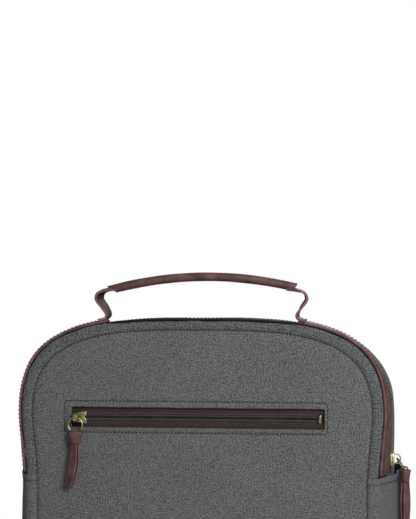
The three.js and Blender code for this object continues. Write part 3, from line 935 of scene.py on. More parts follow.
gusset_low, gusset_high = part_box("gusset_rear")
front_part = [(inset, gusset_low.y + depth * MM) for inset, depth in (
    (1.4, -0.4), (-0.3, 0.4), (-0.9, 3), (-0.5, 5.5), (-1.3, 14), (-2.2, 30), (-2.0, 48))]
rear_part = [(inset, gusset_high.y + depth * MM) for inset, depth in (
    (-1.0, -12), (-0.2, -4), (0.4, 0.6))]
gusset = top_cloth("rear_gusset", front_part + rear_part, gusset_low.z, canvas, "bag",
                   "gusset_rear", ripple=0.9 * MM)
smooth(gusset, 1)
gusset_seam = [soften((p.x, gusset_low.y + 5.5 * MM, p.z)) for p in over_top(-0.6 * MM, HEM, 700)]


def from_middle(point):
    """Outwards from the bag's middle, for stitches on its rim."""
    return Vector((point.x, 0, max(point.z - (HEIGHT - CROWN), 0) * 1.5))


add_piece("rear_gusset_stitches", stitches(gusset_seam, from_middle, 3.2 * MM, width=0.6 * MM), black_thread,
          "bag")
print("gusset:", len(gusset.data.polygons), "faces")


# %% Metal teeth, in two rows that interlock
def zip_teeth(name, depth, shift, body, node_name):
    path = over_top(0.2 * MM, ZIP_FOOT, 1400)
    total = sum((b - a).length for a, b in zip(path, path[1:]))
    pitch = 2.45 * MM
    places = resample(path, int(total / pitch) * 2)
    bm = bmesh.new()
    for i in range(1 + shift, len(places) - 2, 2):
        along = (places[i + 1] - places[i - 1]).normalized()
        out = Vector((along.z, 0, -along.x))
        if out.dot(places[i] - Vector((0, 0, HEIGHT - CROWN))) < 0:
            out.negate()
        spot = soften((places[i].x, depth, places[i].z)) - out * 0.9 * MM
        turn = Matrix((along, Vector((0, 1, 0)), out)).transposed().to_4x4()
        place = Matrix.Translation(spot) @ turn @ Matrix.Diagonal((1.25 * MM, 3.5 * MM, 2.0 * MM, 1))
        made = bmesh.ops.create_cube(bm, size=1, matrix=place)["verts"]
        edges = list({e for v in made for e in v.link_edges})
        bmesh.ops.bevel(bm, geom=edges, offset=0.3 * MM, affect="EDGES",
                        segments=1, profile=0.5, material=-1)
    return add_piece(name, bm, tooth_brass, body, (node_name,))


front_low, front_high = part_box("main_teeth_front")
rear_low, rear_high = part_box("main_teeth_rear")
front_depth = (front_low.y + front_high.y) / 2 + 0.3 * MM
rear_depth = (rear_low.y + rear_high.y) / 2 - 0.3 * MM
zip_teeth("main_teeth_front_row", front_depth, 0, "flap", "main_teeth_front")
zip_teeth("main_teeth_rear_row", rear_depth, 1, "bag", "main_teeth_rear")

# %% Side panels in front of the pockets' hems
for side, label in SIDES:
    low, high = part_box(f"side_panel_{label}")
    rows = []
    for i in range(9):
        y = low.y + (high.y - low.y) * i / 8 - (1.2 * MM if i == 0 else 0)
        bow = 1.2 * MM * math.sin(math.pi * i / 8) - (1.6 * MM if i == 0 else 0)
        row = [Vector((side * (HALF_WIDTH + bow), y, low.z + (high.z - low.z) * k / 60)) for k in range(61)]
        rows.append([soften(p + Vector((wobble(p, 30 * MM, 0.6 * MM, 2.0), 0, 0))) for p in row])
    bm = loft(rows)
    face_towards(bm, (side, 0, 0))
    cloth = add_piece(f"side_cloth_{label}", bm, canvas, "bag", (f"side_panel_{label}",))
    thicken(cloth, 1.2 * MM)

# %% [markdown]
# ## Leather
# The base is one folded trough of thick leather. Two leather straps are sewn down the sides over
# the canvas, and their cut edges are left raw and pale. Solidify gives the thickness, and its rim
# faces take the pale edge material.

# %% Leather base
base_low, base_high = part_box("base_panel")
base_profile = [(2.6, FRONT + 1.9 * MM), (1.0, FRONT + 1.5 * MM), (-0.2, FRONT + 2.6 * MM),
                (-0.7, FRONT + 5 * MM), (-0.9, -0.04), (-1.0, -0.02), (-1.0, 0.0), (-1.0, 0.02), (-0.9, 0.04),
                (-0.6, base_high.y - 5 * MM), (0.2, base_high.y - MM), (0.8, base_high.y + 0.6 * MM)]
base_rows = rows_at(lambda inset: under_base(inset * MM, base_high.z, 160), base_profile)
for row in base_rows:
    for p in row:
        swell = wobble(p, 30 * MM, 0.5 * MM, 7.0)
        p.x += math.copysign(swell, p.x) * ease(abs(p.x), 0.1, 0.14)
        p.z = max(p.z, 0.0)
base_bm = loft(base_rows)
face_towards(base_bm, (0, 0, -1))
base = add_piece("leather_base", base_bm, [base_leather, leather_edge], "bag", ("base_panel",))
thicken(base, 2.0 * MM, rim=1)
for side, label in SIDES:
    hem_path = []
    for i in range(61):
        y = base_low.y + 4 * MM + (base_high.y - base_low.y - 7 * MM) * i / 60
        hem_path.append(Vector((side * (HALF_WIDTH + 0.95 * MM), y, base_high.z - 4 * MM)))
    hem = stitches(hem_path, (side, 0, 0), 3.4 * MM)
    add_piece(f"base_stitches_{label}", hem, brown_thread, "bag")


# %% Leather straps over the sides
def strap_path(side, inset, count, low, reach=math.radians(70)):
    crown = [crown_point(inset, reach * i / 60) for i in range(61)]
    points = [Vector((p.x * side, 0, p.z)) for p in [Vector((HALF_WIDTH - inset, 0, low)), *crown]]
    return resample(points, count)


for side, label in SIDES:
    low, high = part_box(f"leather_strip_{label}")
    width = high.y - low.y
    profile = [(-1.9, 0.0), (-2.5, 0.06), (-2.7, 0.3), (-2.7, 0.5), (-2.7, 0.7), (-2.5, 0.94), (-1.9, 1.0)]
    rows = []
    for inset, share in profile:
        row = [soften((p.x, low.y + width * share, p.z)) for p in strap_path(side, inset * MM, 150, low.z)]
        rows.append([p + Vector((wobble(p, 18 * MM, 0.25 * MM, 9.0), 0, 0)) for p in row])
    bm = loft(rows)
    face_towards(bm, (side, 0, 0.6))
    strap = add_piece(f"side_strap_{label}", bm, LEATHER_FACES, "flap",
                      (f"leather_strip_{label}",))
    thicken(strap, 2.0 * MM, rim=1, bevel=0.35 * MM)
    for row_name, share in (("front", 0.12), ("rear", 0.88)):
        path = [soften((p.x, low.y + width * share, p.z))
                for p in strap_path(side, -2.75 * MM, 400, low.z + 2 * MM)]
        seam = stitches(path, lambda p, s=side: Vector((s * 1.0, 0, max(p.z - HEIGHT + CROWN, 0) * 12)),
                        3.3 * MM, 2.4 * MM, 0.7 * MM)
        add_piece(f"side_strap_stitches_{row_name}_{label}", seam, brown_thread, "flap")
print("leather straps ready")

# %% [markdown]
# ## Carrying handle
# Each strap comes up from the side strap, leans outwards and turns back into the grip. The grip is
# a strip of leather rolled into a tube, and its lap shows at both ends, so its cross-section is
# an open spiral rather than a circle.


# %% Handle straps
def smooth_path(points, count):
    """A Catmull-Rom curve through points, at even steps."""
    points = [Vector(p) for p in points]
    points = [points[0] * 2 - points[1], *points, points[-1] * 2 - points[-2]]
    fine = []
    for a, b, c, d in zip(points, points[1:], points[2:], points[3:]):
        for i in range(24):
            t = i / 24
            fine.append(0.5 * (2 * b + (c - a) * t + (2 * a - 5 * b + 4 * c - d) * t * t
                               + (3 * b - a - 3 * c + d) * t ** 3))
    return resample(fine + [points[-2]], count)


grip_low, grip_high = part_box("handle_grip")
GRIP_Y = (grip_low.y + grip_high.y) / 2
strap_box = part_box("handle_strap_right")
STRAP_WIDTH = strap_box[1].y - strap_box[0].y
HANDLE_TWIST = {-1: math.radians(6), 1: math.radians(7)}
for side, label in SIDES:
    drawn = [(84, -3.4), (80.5, -2.7), (78, -1.4), (78.2, 1.2), (81, 5), (84.6, 9), (86.5, 13), (85.2, 17.8),
             (81.5, 20.6), (76, 21.8), (68, 22.6)]
    path = smooth_path([(side * x * MM, 0, HEIGHT + z * MM) for x, z in drawn], 60)
    twist = HANDLE_TWIST[side]
    rows = []
    for share in [-0.5, -0.46, -0.3, -0.1, 0.1, 0.3, 0.46, 0.5]:
        row = []
        for i, p in enumerate(path):
            t = i / (len(path) - 1)
            wide = STRAP_WIDTH * (1 - 0.62 * ease(t, 0.72, 0.95))
            angle = twist * ease(t, 0.12, 0.4)
            curl = 1.6 * MM * (abs(share) * 2) ** 2 * ease(t, 0.5, 0.9)
            along = Vector((-side * math.sin(angle), math.cos(angle), 0))
            offset = along * (wide * share)
            front = along * (wide * -0.5)
            spot = Vector((p.x, GRIP_Y, p.z)) + offset
            if t < 0.97:
                spot.x -= front.x * ease(t, 0.12, 0.4)
            spot.z -= curl
            row.append(spot)
        rows.append(row)
    bm = loft(rows)
    face_towards(bm, (side, 0, 0.2))
    strap = add_piece(f"handle_strap_leather_{label}", bm, LEATHER_FACES, None,
                      (f"handle_strap_{label}",))
    thicken(strap, 2.0 * MM, rim=1, bevel=0.3 * MM)
    # The strap's inner faces take the back-face leather, darkened as painted shade.
    strap.modifiers["wall"].material_offset = 2
    finish_mesh(strap)
    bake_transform(strap)

# %% Rolled grip
GRIP_RADIUS = 3.7 * MM


def grip_line(x):
    """The middle of the grip at X, in millimetres above the bag."""
    return 30.6 - 10 * (x / 77) ** 2 + 1.2 * x / 77


arc = smooth_path([(x * MM, GRIP_Y, HEIGHT + grip_line(x) * MM)
                   for x in (-74, -60, -40, -20, 0, 20, 40, 60, 75)], 90)
grip_rows = []
SPIRAL = 30
for i, centre_point in enumerate(arc):
    before = arc[max(i - 1, 0)]
    after = arc[min(i + 1, len(arc) - 1)]
    along = (after - before).normalized()
    up = Vector((-along.z, 0, along.x))
    lumps = 1 + wobble(centre_point, 24 * MM, 0.06, 3.0)
    row = []
    for k in range(SPIRAL):
        turn = math.radians(-115 + 395 * k / (SPIRAL - 1))
        grow = GRIP_RADIUS * lumps * (0.84 + 0.16 * ease(k, 0, SPIRAL * 0.8))
        end = ease(i, len(arc) - 6, len(arc) - 1) + 1 - ease(i, 0, 5)
        lean = 3.0 * MM * math.sin(turn) * end * (-1 if i < 45 else 0.4)
        row.append(centre_point + up * (grow * math.sin(turn)) + Vector((0, 1, 0)) * (-grow * math.cos(turn))
                   + along * lean)
    grip_rows.append(row)
grip_bm = loft(grip_rows)
outward = 0.0
for face in grip_bm.faces:
    middle = face.calc_center_median()
    axis = Vector((middle.x, GRIP_Y, HEIGHT + grip_line(middle.x / MM) * MM))
    outward += face.normal.dot(middle - axis)
if outward < 0:
    bmesh.ops.reverse_faces(grip_bm, faces=grip_bm.faces)
grip = add_piece("rolled_grip", grip_bm, LEATHER_FACES, "handle", ("handle_grip",))
thicken(grip, 1.1 * MM, rim=1, bevel=0.25 * MM)
# Inside the roll the back-face leather is darkened as painted shade.
grip.modifiers["wall"].material_offset = 2
print("handle ready")

# %% Handle core
core_rows = []
for i, centre_point in enumerate(arc[4:-4]):
    core_rows.append([centre_point
                      + Vector((0, math.cos(math.pi * k / 6), math.sin(math.pi * k / 6))) * 1.9 * MM
                      for k in range(12)])
core_bm = loft(core_rows, closed=True)
bmesh.ops.holes_fill(core_bm, edges=[e for e in core_bm.edges if e.is_boundary], sides=0)
bmesh.ops.recalc_face_normals(core_bm, faces=core_bm.faces)
add_piece("grip_core", core_bm, pad_foam, "handle", ("handle_core",))

# %% [markdown]
# ## Zip sliders, rings and pulls
# A slider is drawn once, lying flat and facing forward, and placed twice. Its mouth is notched
# where the two rows of teeth leave it. The pull is a doubled leather strip threaded on the ring
# and held by a wrapped band, so its raw edges show at the rim and down one side.


# %% Slider parts, drawn at the origin and facing -Y
def plate(outline, front, back, bevel, segments=2):
    """A flat outline in X and Z given thickness and soft edges."""
    bm = slab([(x * MM, front * MM, z * MM) for x, z in outline], (0, (back - front) * MM, 0))
    sharp = [e for e in bm.edges if e.calc_face_angle(0) > math.radians(40)]
    bmesh.ops.bevel(bm, geom=sharp, offset=bevel * MM, affect="EDGES",
                    segments=segments, profile=0.5, material=-1)
    return bm


def bent_strip(path, half_width, thickness, edge=0.3):
    """A strip whose path lies in Y and Z and whose width lies along X."""
    points = smooth_path([(0, y * MM, z * MM) for y, z in path], 28)
    rows = [[p + Vector((x * MM, 0, 0)) for p in points]
            for x in (-half_width, -half_width + edge, 0, half_width - edge, half_width)]
    bm = loft(rows)
    bmesh.ops.solidify(bm, geom=bm.faces[:], thickness=thickness * MM)
    bmesh.ops.recalc_face_normals(bm, faces=bm.faces)
    return bm


def slider_body(across):
    outline = [(5.75, 4.8), (5.75, 1.7), (3.3, 0), (5.75, -1.7), (5.75, -4.8), (2.4, -4.6), (-1.6, -3.8),
               (-4.4, -3.4), (-5.75, -1.9), (-5.75, 1.9), (-4.4, 3.4), (-1.6, 3.8), (2.4, 4.6)]
    if not across:
        outline = [(z, -x) for x, z in outline]
    shift = -3.0 if across else 0.0
    top = plate(outline, -3.4, -1.9, 0.28, 2)
    lower = plate([(x * 0.93, z * 0.9) for x, z in outline], -1.9, -0.4, 0.2, 2)
    bridge_path = [(-2.6, 3.5), (-4.6, 3.3), (-7.0, 2.5), (-8.0, 0.9), (-8.0, -0.9), (-7.0, -2.5),
                   (-4.6, -3.3), (-2.6, -3.5)]
    bridge = bent_strip(bridge_path, 1.7, -0.95)
    bmesh.ops.translate(bridge, vec=(shift * MM, 0, 0), verts=bridge.verts)
    return join_meshes([top, lower, bridge])


def wire_ring(radius, wire):
    """A round ring of wire in the X and Z plane, hanging from the origin."""
    bm = bmesh.new()
    bmesh.ops.create_circle(bm, segments=12, radius=wire * MM, matrix=Matrix.Translation((radius * MM, 0, 0)))
    bmesh.ops.spin(bm, geom=bm.verts[:] + bm.edges[:], cent=(0, 0, 0), axis=(0, 1, 0), angle=2 * math.pi,
                   steps=56, use_merge=True)
    bmesh.ops.recalc_face_normals(bm, faces=bm.faces)
    bmesh.ops.translate(bm, vec=(0, 0, -radius * MM), verts=bm.verts)
    return bm


def paint(bm, number):
    for face in bm.faces:
        face.material_index = number
    return bm


def leather_pull(lean, twist, length):
    """The threaded loop, the wrapped band and the doubled tail, hanging from the origin."""
    loop_path = [(1.3, -7), (2.2, -3), (2.5, 0.2), (1.8, 2.5), (0, 3.4), (-1.8, 2.5), (-2.5, 0.2),
                 (-2.2, -3), (-1.3, -7)]
    loop = paint(bent_strip(loop_path, 2.4, 0.9), 0)
    band_rows = []
    for z, radius in ((0.4, 6.3), (-0.4, 6.2), (-2.4, 5.6), (-5.0, 5.0), (-8.0, 4.8), (-8.8, 4.7)):
        row = []
        for k in range(30):
            turn = math.radians(-20 + 380 * k / 29)
            grow = radius * (0.94 + 0.10 * k / 29)
            row.append(Vector((grow * math.cos(turn), 0.72 * grow * math.sin(turn), z)) * MM)
        band_rows.append(row)
    band = loft(band_rows)
    for face in band.faces:
        face.normal_update()
    middles = [(f.normal, f.calc_center_median()) for f in band.faces]
    if sum(normal.dot(Vector((middle.x, middle.y, 0))) for normal, middle in middles) < 0:
        bmesh.ops.reverse_faces(band, faces=band.faces)
    bmesh.ops.solidify(band, geom=band.faces[:], thickness=1.0 * MM)
    for face in band.faces:
        face.material_index = 1 if abs(face.normal.z) > 0.7 else 0
    tails = []
    for layer, reach in ((-1, length), (1, length * 0.985)):
        rows = []
        for x in (-1.0, -0.9, 0, 0.9, 1.0):
            row = []
            for i in range(25):
                t = i / 24
                half = 3.1 + 0.9 * ease(t, 0.05, 0.5) - 0.8 * ease(t, 0.6, 1.0)
                gap = 0.35 + 0.5 * math.sin(math.pi * t)
                row.append(Vector((x * half, layer * gap, -7 - (reach - 7) * t)) * MM)
            rows.append(row)
        tail = loft(rows)
        face_towards(tail, (0, layer, 0))
        bmesh.ops.solidify(tail, geom=tail.faces[:], thickness=-1.45 * MM)
        bmesh.ops.recalc_face_normals(tail, faces=tail.faces)
        # Faces turned towards the other layer take the back-face leather, darkened as painted shade.
        for face in tail.faces:
            if abs(face.normal.x) > 0.7 or face.normal.z < -0.7:
                face.material_index = 1
            elif face.normal.y * layer < -0.6:
                face.material_index = 2
        turn = Matrix.Rotation(math.radians(twist), 4, "Z")
        bmesh.ops.transform(tail, matrix=turn, verts=tail.verts)
        for vert in tail.verts:
            t = max(-vert.co.z / MM - 7, 0) / (length - 7)
            vert.co.x += lean * MM * t * t
        tails.append(tail)
    return join_meshes([loop, band, *tails])


# %% Both zips' sliders
RING_RADIUS = 5.8
RING_WIRE = 0.75
PULL_LENGTH = 44
pocket_pivot = joint["pocket_ring_swing"]["pos_m"]
main_pivot = joint["main_ring_swing"]["pos_m"]
spots = {"pocket": {"at": Vector((pocket_pivot[0] + 3.0 * MM, FRONT, window_middle)), "turn": 0,
                    "across": True, "lean": -5.0, "twist": -32, "tilt": 6},
         "main": {"at": Vector((HALF_WIDTH, main_pivot[1], main_pivot[2])), "turn": 90,
                  "across": False, "lean": 0.0, "twist": -35, "tilt": 35}}
for name, spot in spots.items():
    turn = Matrix.Rotation(math.radians(spot["turn"]), 4, "Z")
    body = slider_body(spot["across"])
    bmesh.ops.transform(body, matrix=Matrix.Translation(spot["at"]) @ turn, verts=body.verts)
    add_piece(f"{name}_zip_slider", body, antique_brass, f"{name}_slider", (f"{name}_slider",))
    hinge = Vector(joint[f"{name}_ring_swing"]["pos_m"])
    ring_bm = wire_ring(RING_RADIUS, RING_WIRE)
    tilt = Matrix.Rotation(math.radians(-spot["tilt"]), 4, "X")
    bmesh.ops.transform(ring_bm, matrix=Matrix.Translation(hinge) @ turn @ tilt, verts=ring_bm.verts)
    add_piece(f"{name}_pull_ring", ring_bm, antique_brass, f"{name}_ring", (f"{name}_ring",))
    knot = Vector(joint[f"{name}_pull_swing"]["pos_m"])
    pull_bm = leather_pull(spot["lean"], spot["twist"], PULL_LENGTH)
    bmesh.ops.transform(pull_bm, matrix=Matrix.Translation(knot) @ turn, verts=pull_bm.verts)
    add_piece(f"{name}_leather_pull", pull_bm, LEATHER_FACES, f"{name}_pull", (f"{name}_pull",))
print("sliders ready")

# %% [markdown]
# ## Side pockets
# Each pocket is one cut of canvas, sewn at the front panel's stitch line, wrapped round the corner
# and hemmed at the top. A dark gusset closes it behind. The empty left pocket lies closer to the
# bag than the right one.


# %% Side pockets
def pocket_skin(side, plan, profile, count=56):
    """A pocket wall: a path in X and Y, raised through (height, outward) rows."""
    path = smooth_path([(x * MM, y * MM, 0) for x, y in plan], count)
    rows = []
    for height, outward in profile:
        row = []
        for i, p in enumerate(path):
            ahead = path[min(i + 1, count - 1)] - path[max(i - 1, 0)]
            normal = Vector((ahead.y, -ahead.x, 0)).normalized()
            free = math.sin(math.pi * i / (count - 1))
            swell = 1.0 * MM * math.sin(math.pi * ease(height, 55, 252)) * free
            fold = Vector((p.y, height * MM, 0.3 * side))
            crease = wobble(fold, 22 * MM, 1.1 * MM, 2.6) * ease(height, 70, 110)
            crease *= 1 - ease(height, 236, 250)
            spot = p + normal * (outward * MM + swell + crease * free)
            ruffle = wobble(Vector((p.y, side, 1)), 30 * MM, 1.0 * MM, 1.1) * ease(height, 200, 245)
            spot.z = height * MM + ruffle
            row.append(soften((side * spot.x, spot.y, spot.z)))
        rows.append(row)
    return rows


hem_top = HEM / MM
wall_profile = [(64.2, -3.2), (63.6, -1.4), (64.6, 0.0), (70, 0.4), (84, 0.5), (105, 0.5), (130, 0.5),
                (155, 0.5), (180, 0.5), (200, 0.5), (215, 0.5), (228, 0.4), (238, 0.3), (243, 0.25),
                (245.2, 0.1), (245.9, 0.05), (246.6, 0.45), (248.5, 0.8), (250.6, 0.75),
                (hem_top + 0.4, 0.2), (hem_top, -0.8), (248.5, -1.1), (244, -1.2)]
full_front = [(140.6, -60.2), (143.6, -62.2), (148.4, -61.8), (151.6, -58.6), (153.6, -51), (155.0, -38),
              (155.6, -22), (155.6, -6), (155.2, 8.2)]
full_rear = [(155.4, 8.5), (157.8, 18), (158.8, 30), (156.4, 45), (150.8, 56.4)]
empty_front = [(140.6, -60.2), (143.4, -61.9), (147.8, -61.4), (150.9, -58.2), (152.0, -50), (152.4, -38),
               (152.8, -22), (153.0, -6), (153.0, 8.2)]
empty_rear = [(153.1, 8.5), (154.2, 20), (154.4, 32), (153.2, 46), (150.8, 56.4)]
plans = {1: (full_front, full_rear), -1: (empty_front, empty_rear)}
for side, label in SIDES:
    front_plan, rear_plan = plans[side]
    for name, plan, cloth, slot_name, node_name in (
            ("side_pocket_cloth", front_plan, canvas, "canvas", "side_pocket"),
            ("pocket_rear_gusset", rear_plan, navy_canvas, "navy_canvas", "pocket_gusset")):
        bm = loft(pocket_skin(side, plan, wall_profile))
        face_towards(bm, (side, 0, 0))
        obj = add_piece(f"{name}_{label}", bm, cloth, None, (f"{node_name}_{label}",))
        thicken(obj, 0.9 * MM)
        smooth(obj, 1)
        finish_mesh(obj)
        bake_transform(obj)
    hem_path = pocket_skin(side, front_plan, [(245.9, 0.1)], 120)[0]

    def round_corner(p, s=side):
        turned = ease(p.y, -0.062, -0.05)
        return Vector((s * turned, -1 + turned, 0))

    hem_bm = stitches(hem_path, round_corner, 3.2 * MM, 2.3 * MM, 0.9 * MM)
    hem_stitches = add_piece(f"side_pocket_stitches_{label}", hem_bm, black_thread, None)
    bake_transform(hem_stitches)
print("side pockets ready")

# %% [markdown]
# ## The back
# A flat back panel carries a thick padded panel under spacer mesh. Foam swells evenly until the
# cover stops it, and sewn channels hold it down. The swelling is simulated as pressurised cloth,
# and the channels are pressed in afterwards.


# %% Back panel
back_rings = []
back_profile = [(1.6, -2.2), (0.5, -1.0), (0.4, -0.2), (1.4, 0.4), (3.2, 0.55), (5.4, 0.3), (6.2, 0.1),
                (7.2, 0.3), (10, 0.4), (16, 0.35), (26, 0.1), (38, 0.0)]
for inset, depth in back_profile:
    back_rings.append([soften((p.x, BACK + (depth - 0.4) * MM, p.z)) for p in whole_outline(inset * MM, 240)])
back_plane = BACK - 0.4 * MM
back_middle = Vector((0, back_plane, HEIGHT / 2))
for step in range(1, 8):
    share = 1 - step / 8.5
    back_rings.append([soften(back_middle.lerp(Vector((p.x, back_plane, p.z)), share))
                       for p in whole_outline(38 * MM, 240)])
back_bm = loft(back_rings, closed=True)
close_middle(back_bm, len(back_rings) - 1)
flat_uv(back_bm, 0, 2)
face_towards(back_bm, (0, 1, 0))
thicken(add_piece("back_cloth", back_bm, canvas, "bag", ("back_panel",)), 1.2 * MM)
back_seam = [soften((p.x, BACK - 0.2 * MM, p.z)) for p in whole_outline(6.2 * MM, 900)]
seam = stitches(back_seam, (0, 1, 0), 3.4 * MM, closed=True)
add_piece("back_stitches", seam, black_thread, "bag")


# %% Padding: pressure on a closed cloth, stopped by a cap
def puff(bm, voxel, cap, pressure=4.0, frames=20):
    """Remeshes a closed shape, blows it up as cloth, and stops each point at the cap."""
    mesh = bpy.data.meshes.new("puff")
    bm.to_mesh(mesh)
    bm.free()
    obj = bpy.data.objects.new("puff", mesh)
    bpy.context.collection.objects.link(obj)
    grid = obj.modifiers.new("grid", "REMESH")
    grid.mode = "VOXEL"
    grid.voxel_size = voxel
    finish_mesh(obj)
    start = [v.co.copy() for v in obj.data.vertices]
    cloth = obj.modifiers.new("cloth", "CLOTH")
    cloth.settings.use_pressure = True
    cloth.settings.uniform_pressure_force = pressure
    cloth.settings.effector_weights.gravity = 0
    cloth.settings.quality = 4
    for number in range(1, frames + 1):
        bpy.context.scene.frame_set(number)
    finish_mesh(obj)
    bpy.context.scene.frame_set(1)
    result = bmesh.new()
    result.from_mesh(obj.data)
    result.verts.ensure_lookup_table()
    for vert, home in zip(result.verts, start):
        move = vert.co - home
        if move.length > cap:
            vert.co = home + move.normalized() * cap
    bpy.data.objects.remove(obj)
    return result


def cube_uv(bm):
    """A weave map in metres that reads each face from the side it faces most."""
    weave = bm.loops.layers.uv.get("weave") or bm.loops.layers.uv.new("weave")
    for face in bm.faces:
        n = [abs(v) for v in face.normal]
        first, second = ((1, 2) if n[0] > n[1] and n[0] > n[2] else (0, 2) if n[1] > n[2] else (0, 1))
        for corner in face.loops:
            corner[weave].uv = (corner.vert.co[first], corner.vert.co[second])


def press(bm, lines, depth, width, facing):
    """Presses sewn lines into a pad. A line is a function that gives a point's distance from it."""
    for vert in bm.verts:
        near = min(abs(line(vert.co)) for line in lines)
        if vert.normal.dot(Vector(facing)) > 0.3:
            vert.co -= Vector(facing) * depth * math.exp(-(near / width) ** 2)


# %% Back pad
PAD_INSET = 36 * MM
PAD_FOAM = 5.2 * MM
pad_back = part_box("back_pad")[0].y + 0.6 * MM
pad_bm = slab([(p.x, pad_back, p.z) for p in whole_outline(PAD_INSET, 120)], (0, PAD_FOAM, 0))
pad_bm = puff(pad_bm, 3.0 * MM, 1.6 * MM)
pad_bm.normal_update()
channels = [lambda p: p.x, lambda p: p.z - 0.115, lambda p: p.z - 0.265]
press(pad_bm, channels, 4.4 * MM, 3.6 * MM, (0, 1, 0))
for vert in pad_bm.verts:
    vert.co.y = max(vert.co.y, BACK + 0.2 * MM)
pad_bm.normal_update()
cube_uv(pad_bm)
pad = add_piece("mesh_back_pad", pad_bm, pad_mesh, "bag", ("back_pad",))
smooth(pad, 1)
binding_rows = []
for k in range(8):
    angle = math.pi * k / 7
    reach = 34.2 * MM - 2.2 * MM * math.cos(angle)
    depth = BACK + 0.3 * MM + 2.0 * MM * math.sin(angle)
    binding_rows.append([Vector((p.x, depth, p.z)) for p in whole_outline(reach, 240)])
binding_bm = loft(binding_rows, closed=True)
face_towards(binding_bm, (0, 1, 0))
thicken(add_piece("back_pad_binding", binding_bm, black_canvas, "bag"), 0.6 * MM)
print("back pad:", len(pad.data.polygons), "faces")

# %% [markdown]
# ## Yoke, hang loop and anchors
# The straps are sewn to a leather yoke at the top and to small leather tabs at the bottom. These
# are flat cut pieces, so each is an outline with thickness, soft edges and a row of stitches.


# %% Flat sewn pieces on the back
def cut_piece(name, outline, thickness, node_name, inset):
    """A flat leather piece on the back, with stitches just inside its edge."""
    front = BACK / MM + 0.1
    back = BACK / MM + thickness
    bm = plate(outline, front, back, 0.5, 2)
    for face in bm.faces:
        if abs(face.normal.y) < 0.5:
            face.material_index = 1
    flat_uv(bm, 0, 2)
    add_piece(name, bm, [brown_leather, leather_edge], "bag", (node_name,))
    centre_x = sum(x for x, _ in outline) / len(outline)
    centre_z = sum(z for _, z in outline) / len(outline)
    path = []
    for x, z in outline:
        away = Vector((x - centre_x, 0, z - centre_z))
        x_in = x - math.copysign(inset, away.x)
        z_in = z - math.copysign(inset, away.z)
        path.append(Vector((x_in, back + 0.05, z_in)) * MM)
    seam = stitches(path + path[:1], (0, 1, 0), 3.2 * MM)
    add_piece(f"{name}_stitches", seam, brown_thread, "bag")


yoke_low, yoke_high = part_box("shoulder_yoke")
yoke_outline = [(yoke_low.x / MM, yoke_low.z / MM), (yoke_high.x / MM, yoke_low.z / MM),
                (yoke_high.x / MM - 6, yoke_high.z / MM), (yoke_low.x / MM + 6, yoke_high.z / MM)]
cut_piece("leather_yoke", yoke_outline, 2.7, "shoulder_yoke", 2.4)
for side, label in SIDES:
    low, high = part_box(f"anchor_tab_{label}")
    centre_x = (low.x + high.x) / 2 / MM
    tab = [(centre_x - side * 10.5, low.z / MM), (centre_x + side * 9.5, low.z / MM + 6),
           (centre_x + side * 10.5, high.z / MM), (centre_x - side * 9.5, high.z / MM)]
    cut_piece(f"leather_anchor_{label}", tab, 2.9, f"anchor_tab_{label}", 2.6)

loop_low, loop_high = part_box("hang_loop")
half_outer = loop_high.x
loop_middle = loop_high.z - half_outer
loop_rows = []
for share in (0, 0.08, 0.35, 0.65, 0.92, 1):
    radius = half_outer - 5 * MM * share
    y = loop_high.y + 0.35 * MM * math.sin(math.pi * share)
    row = [Vector((-radius, y - 1.2 * MM, loop_low.z))]
    for i in range(25):
        turn = math.pi * i / 24
        row.append(Vector((-radius * math.cos(turn), y, loop_middle + radius * math.sin(turn))))
    row.append(Vector((radius, y - 1.2 * MM, loop_low.z)))
    loop_rows.append(resample(row, 60))
loop_bm = loft([[soften(p) - Vector((0, 0, 1.5 * MM)) for p in row] for row in loop_rows])
face_towards(loop_bm, (0, 1, 0))
hang_loop = add_piece("webbing_hang_loop", loop_bm, webbing_cloth, "bag", ("hang_loop",))
thicken(hang_loop, 1.6 * MM, bevel=0.3 * MM)
print("yoke and anchors ready")

# %% [markdown]
# ## Shoulder straps
# Each strap is drawn upright about the line between its two anchors, then turned to it. The foam
# part is puffed like the back pad, then edged with a binding and quilted. Below it the webbing
# runs through a three-bar buckle to the tab.

# %% Strap shapes
PAD_PATH = [(-1.2, 9), (5, 5), (14, -4), (26, -22), (36, -60), (38, -110), (33, -160), (24, -205)]
PAD_WIDTHS = [(0, 15), (4, 16), (45, 27), (90, 28), (140, 28), (180, 24), (212, 19), (230, 19)]
ANCHOR_X = 124 * MM
ANCHOR_Z = 22 * MM


def upright(path, count):
    """A smooth path through (y, z) pairs in millimetres, in the strap's own frame."""
    return smooth_path([(0, y * MM, z * MM) for y, z in path], count)


def pad_half_width(z):
    """The pad's half width at a height of the strap's own frame, in millimetres."""
    depth = -z
    for (a, wa), (b, wb) in zip(PAD_WIDTHS, PAD_WIDTHS[1:]):
        if depth <= b:
            return wa + (wb - wa) * ease(depth, a, b)
    return PAD_WIDTHS[-1][1]


def strap_frame(side, label):
    """From the strap's own frame, hanging down from the yoke, to the bag."""
    top = Vector(joint[f"strap_{label}_swing"]["pos_m"])
    foot = Vector((side * ANCHOR_X, top.y, ANCHOR_Z))
    turn = Vector((0, 0, -1)).rotation_difference(foot - top)
    return Matrix.Translation(top) @ turn.to_matrix().to_4x4()


def pad_rows(out, columns, count=70):
    """Rows across the pad, moved out along its normal by `out` millimetres."""
    path = upright(PAD_PATH, count)
    rows = []
    for share in columns:
        row = []
        for i, p in enumerate(path):
            ahead = path[min(i + 1, count - 1)] - path[max(i - 1, 0)]
            normal = Vector((0, -ahead.z, ahead.y)).normalized()
            half = pad_half_width(p.z / MM)
            row.append(p + normal * out * MM + Vector((share * half * MM, 0, 0)))
        rows.append(row)
    return rows


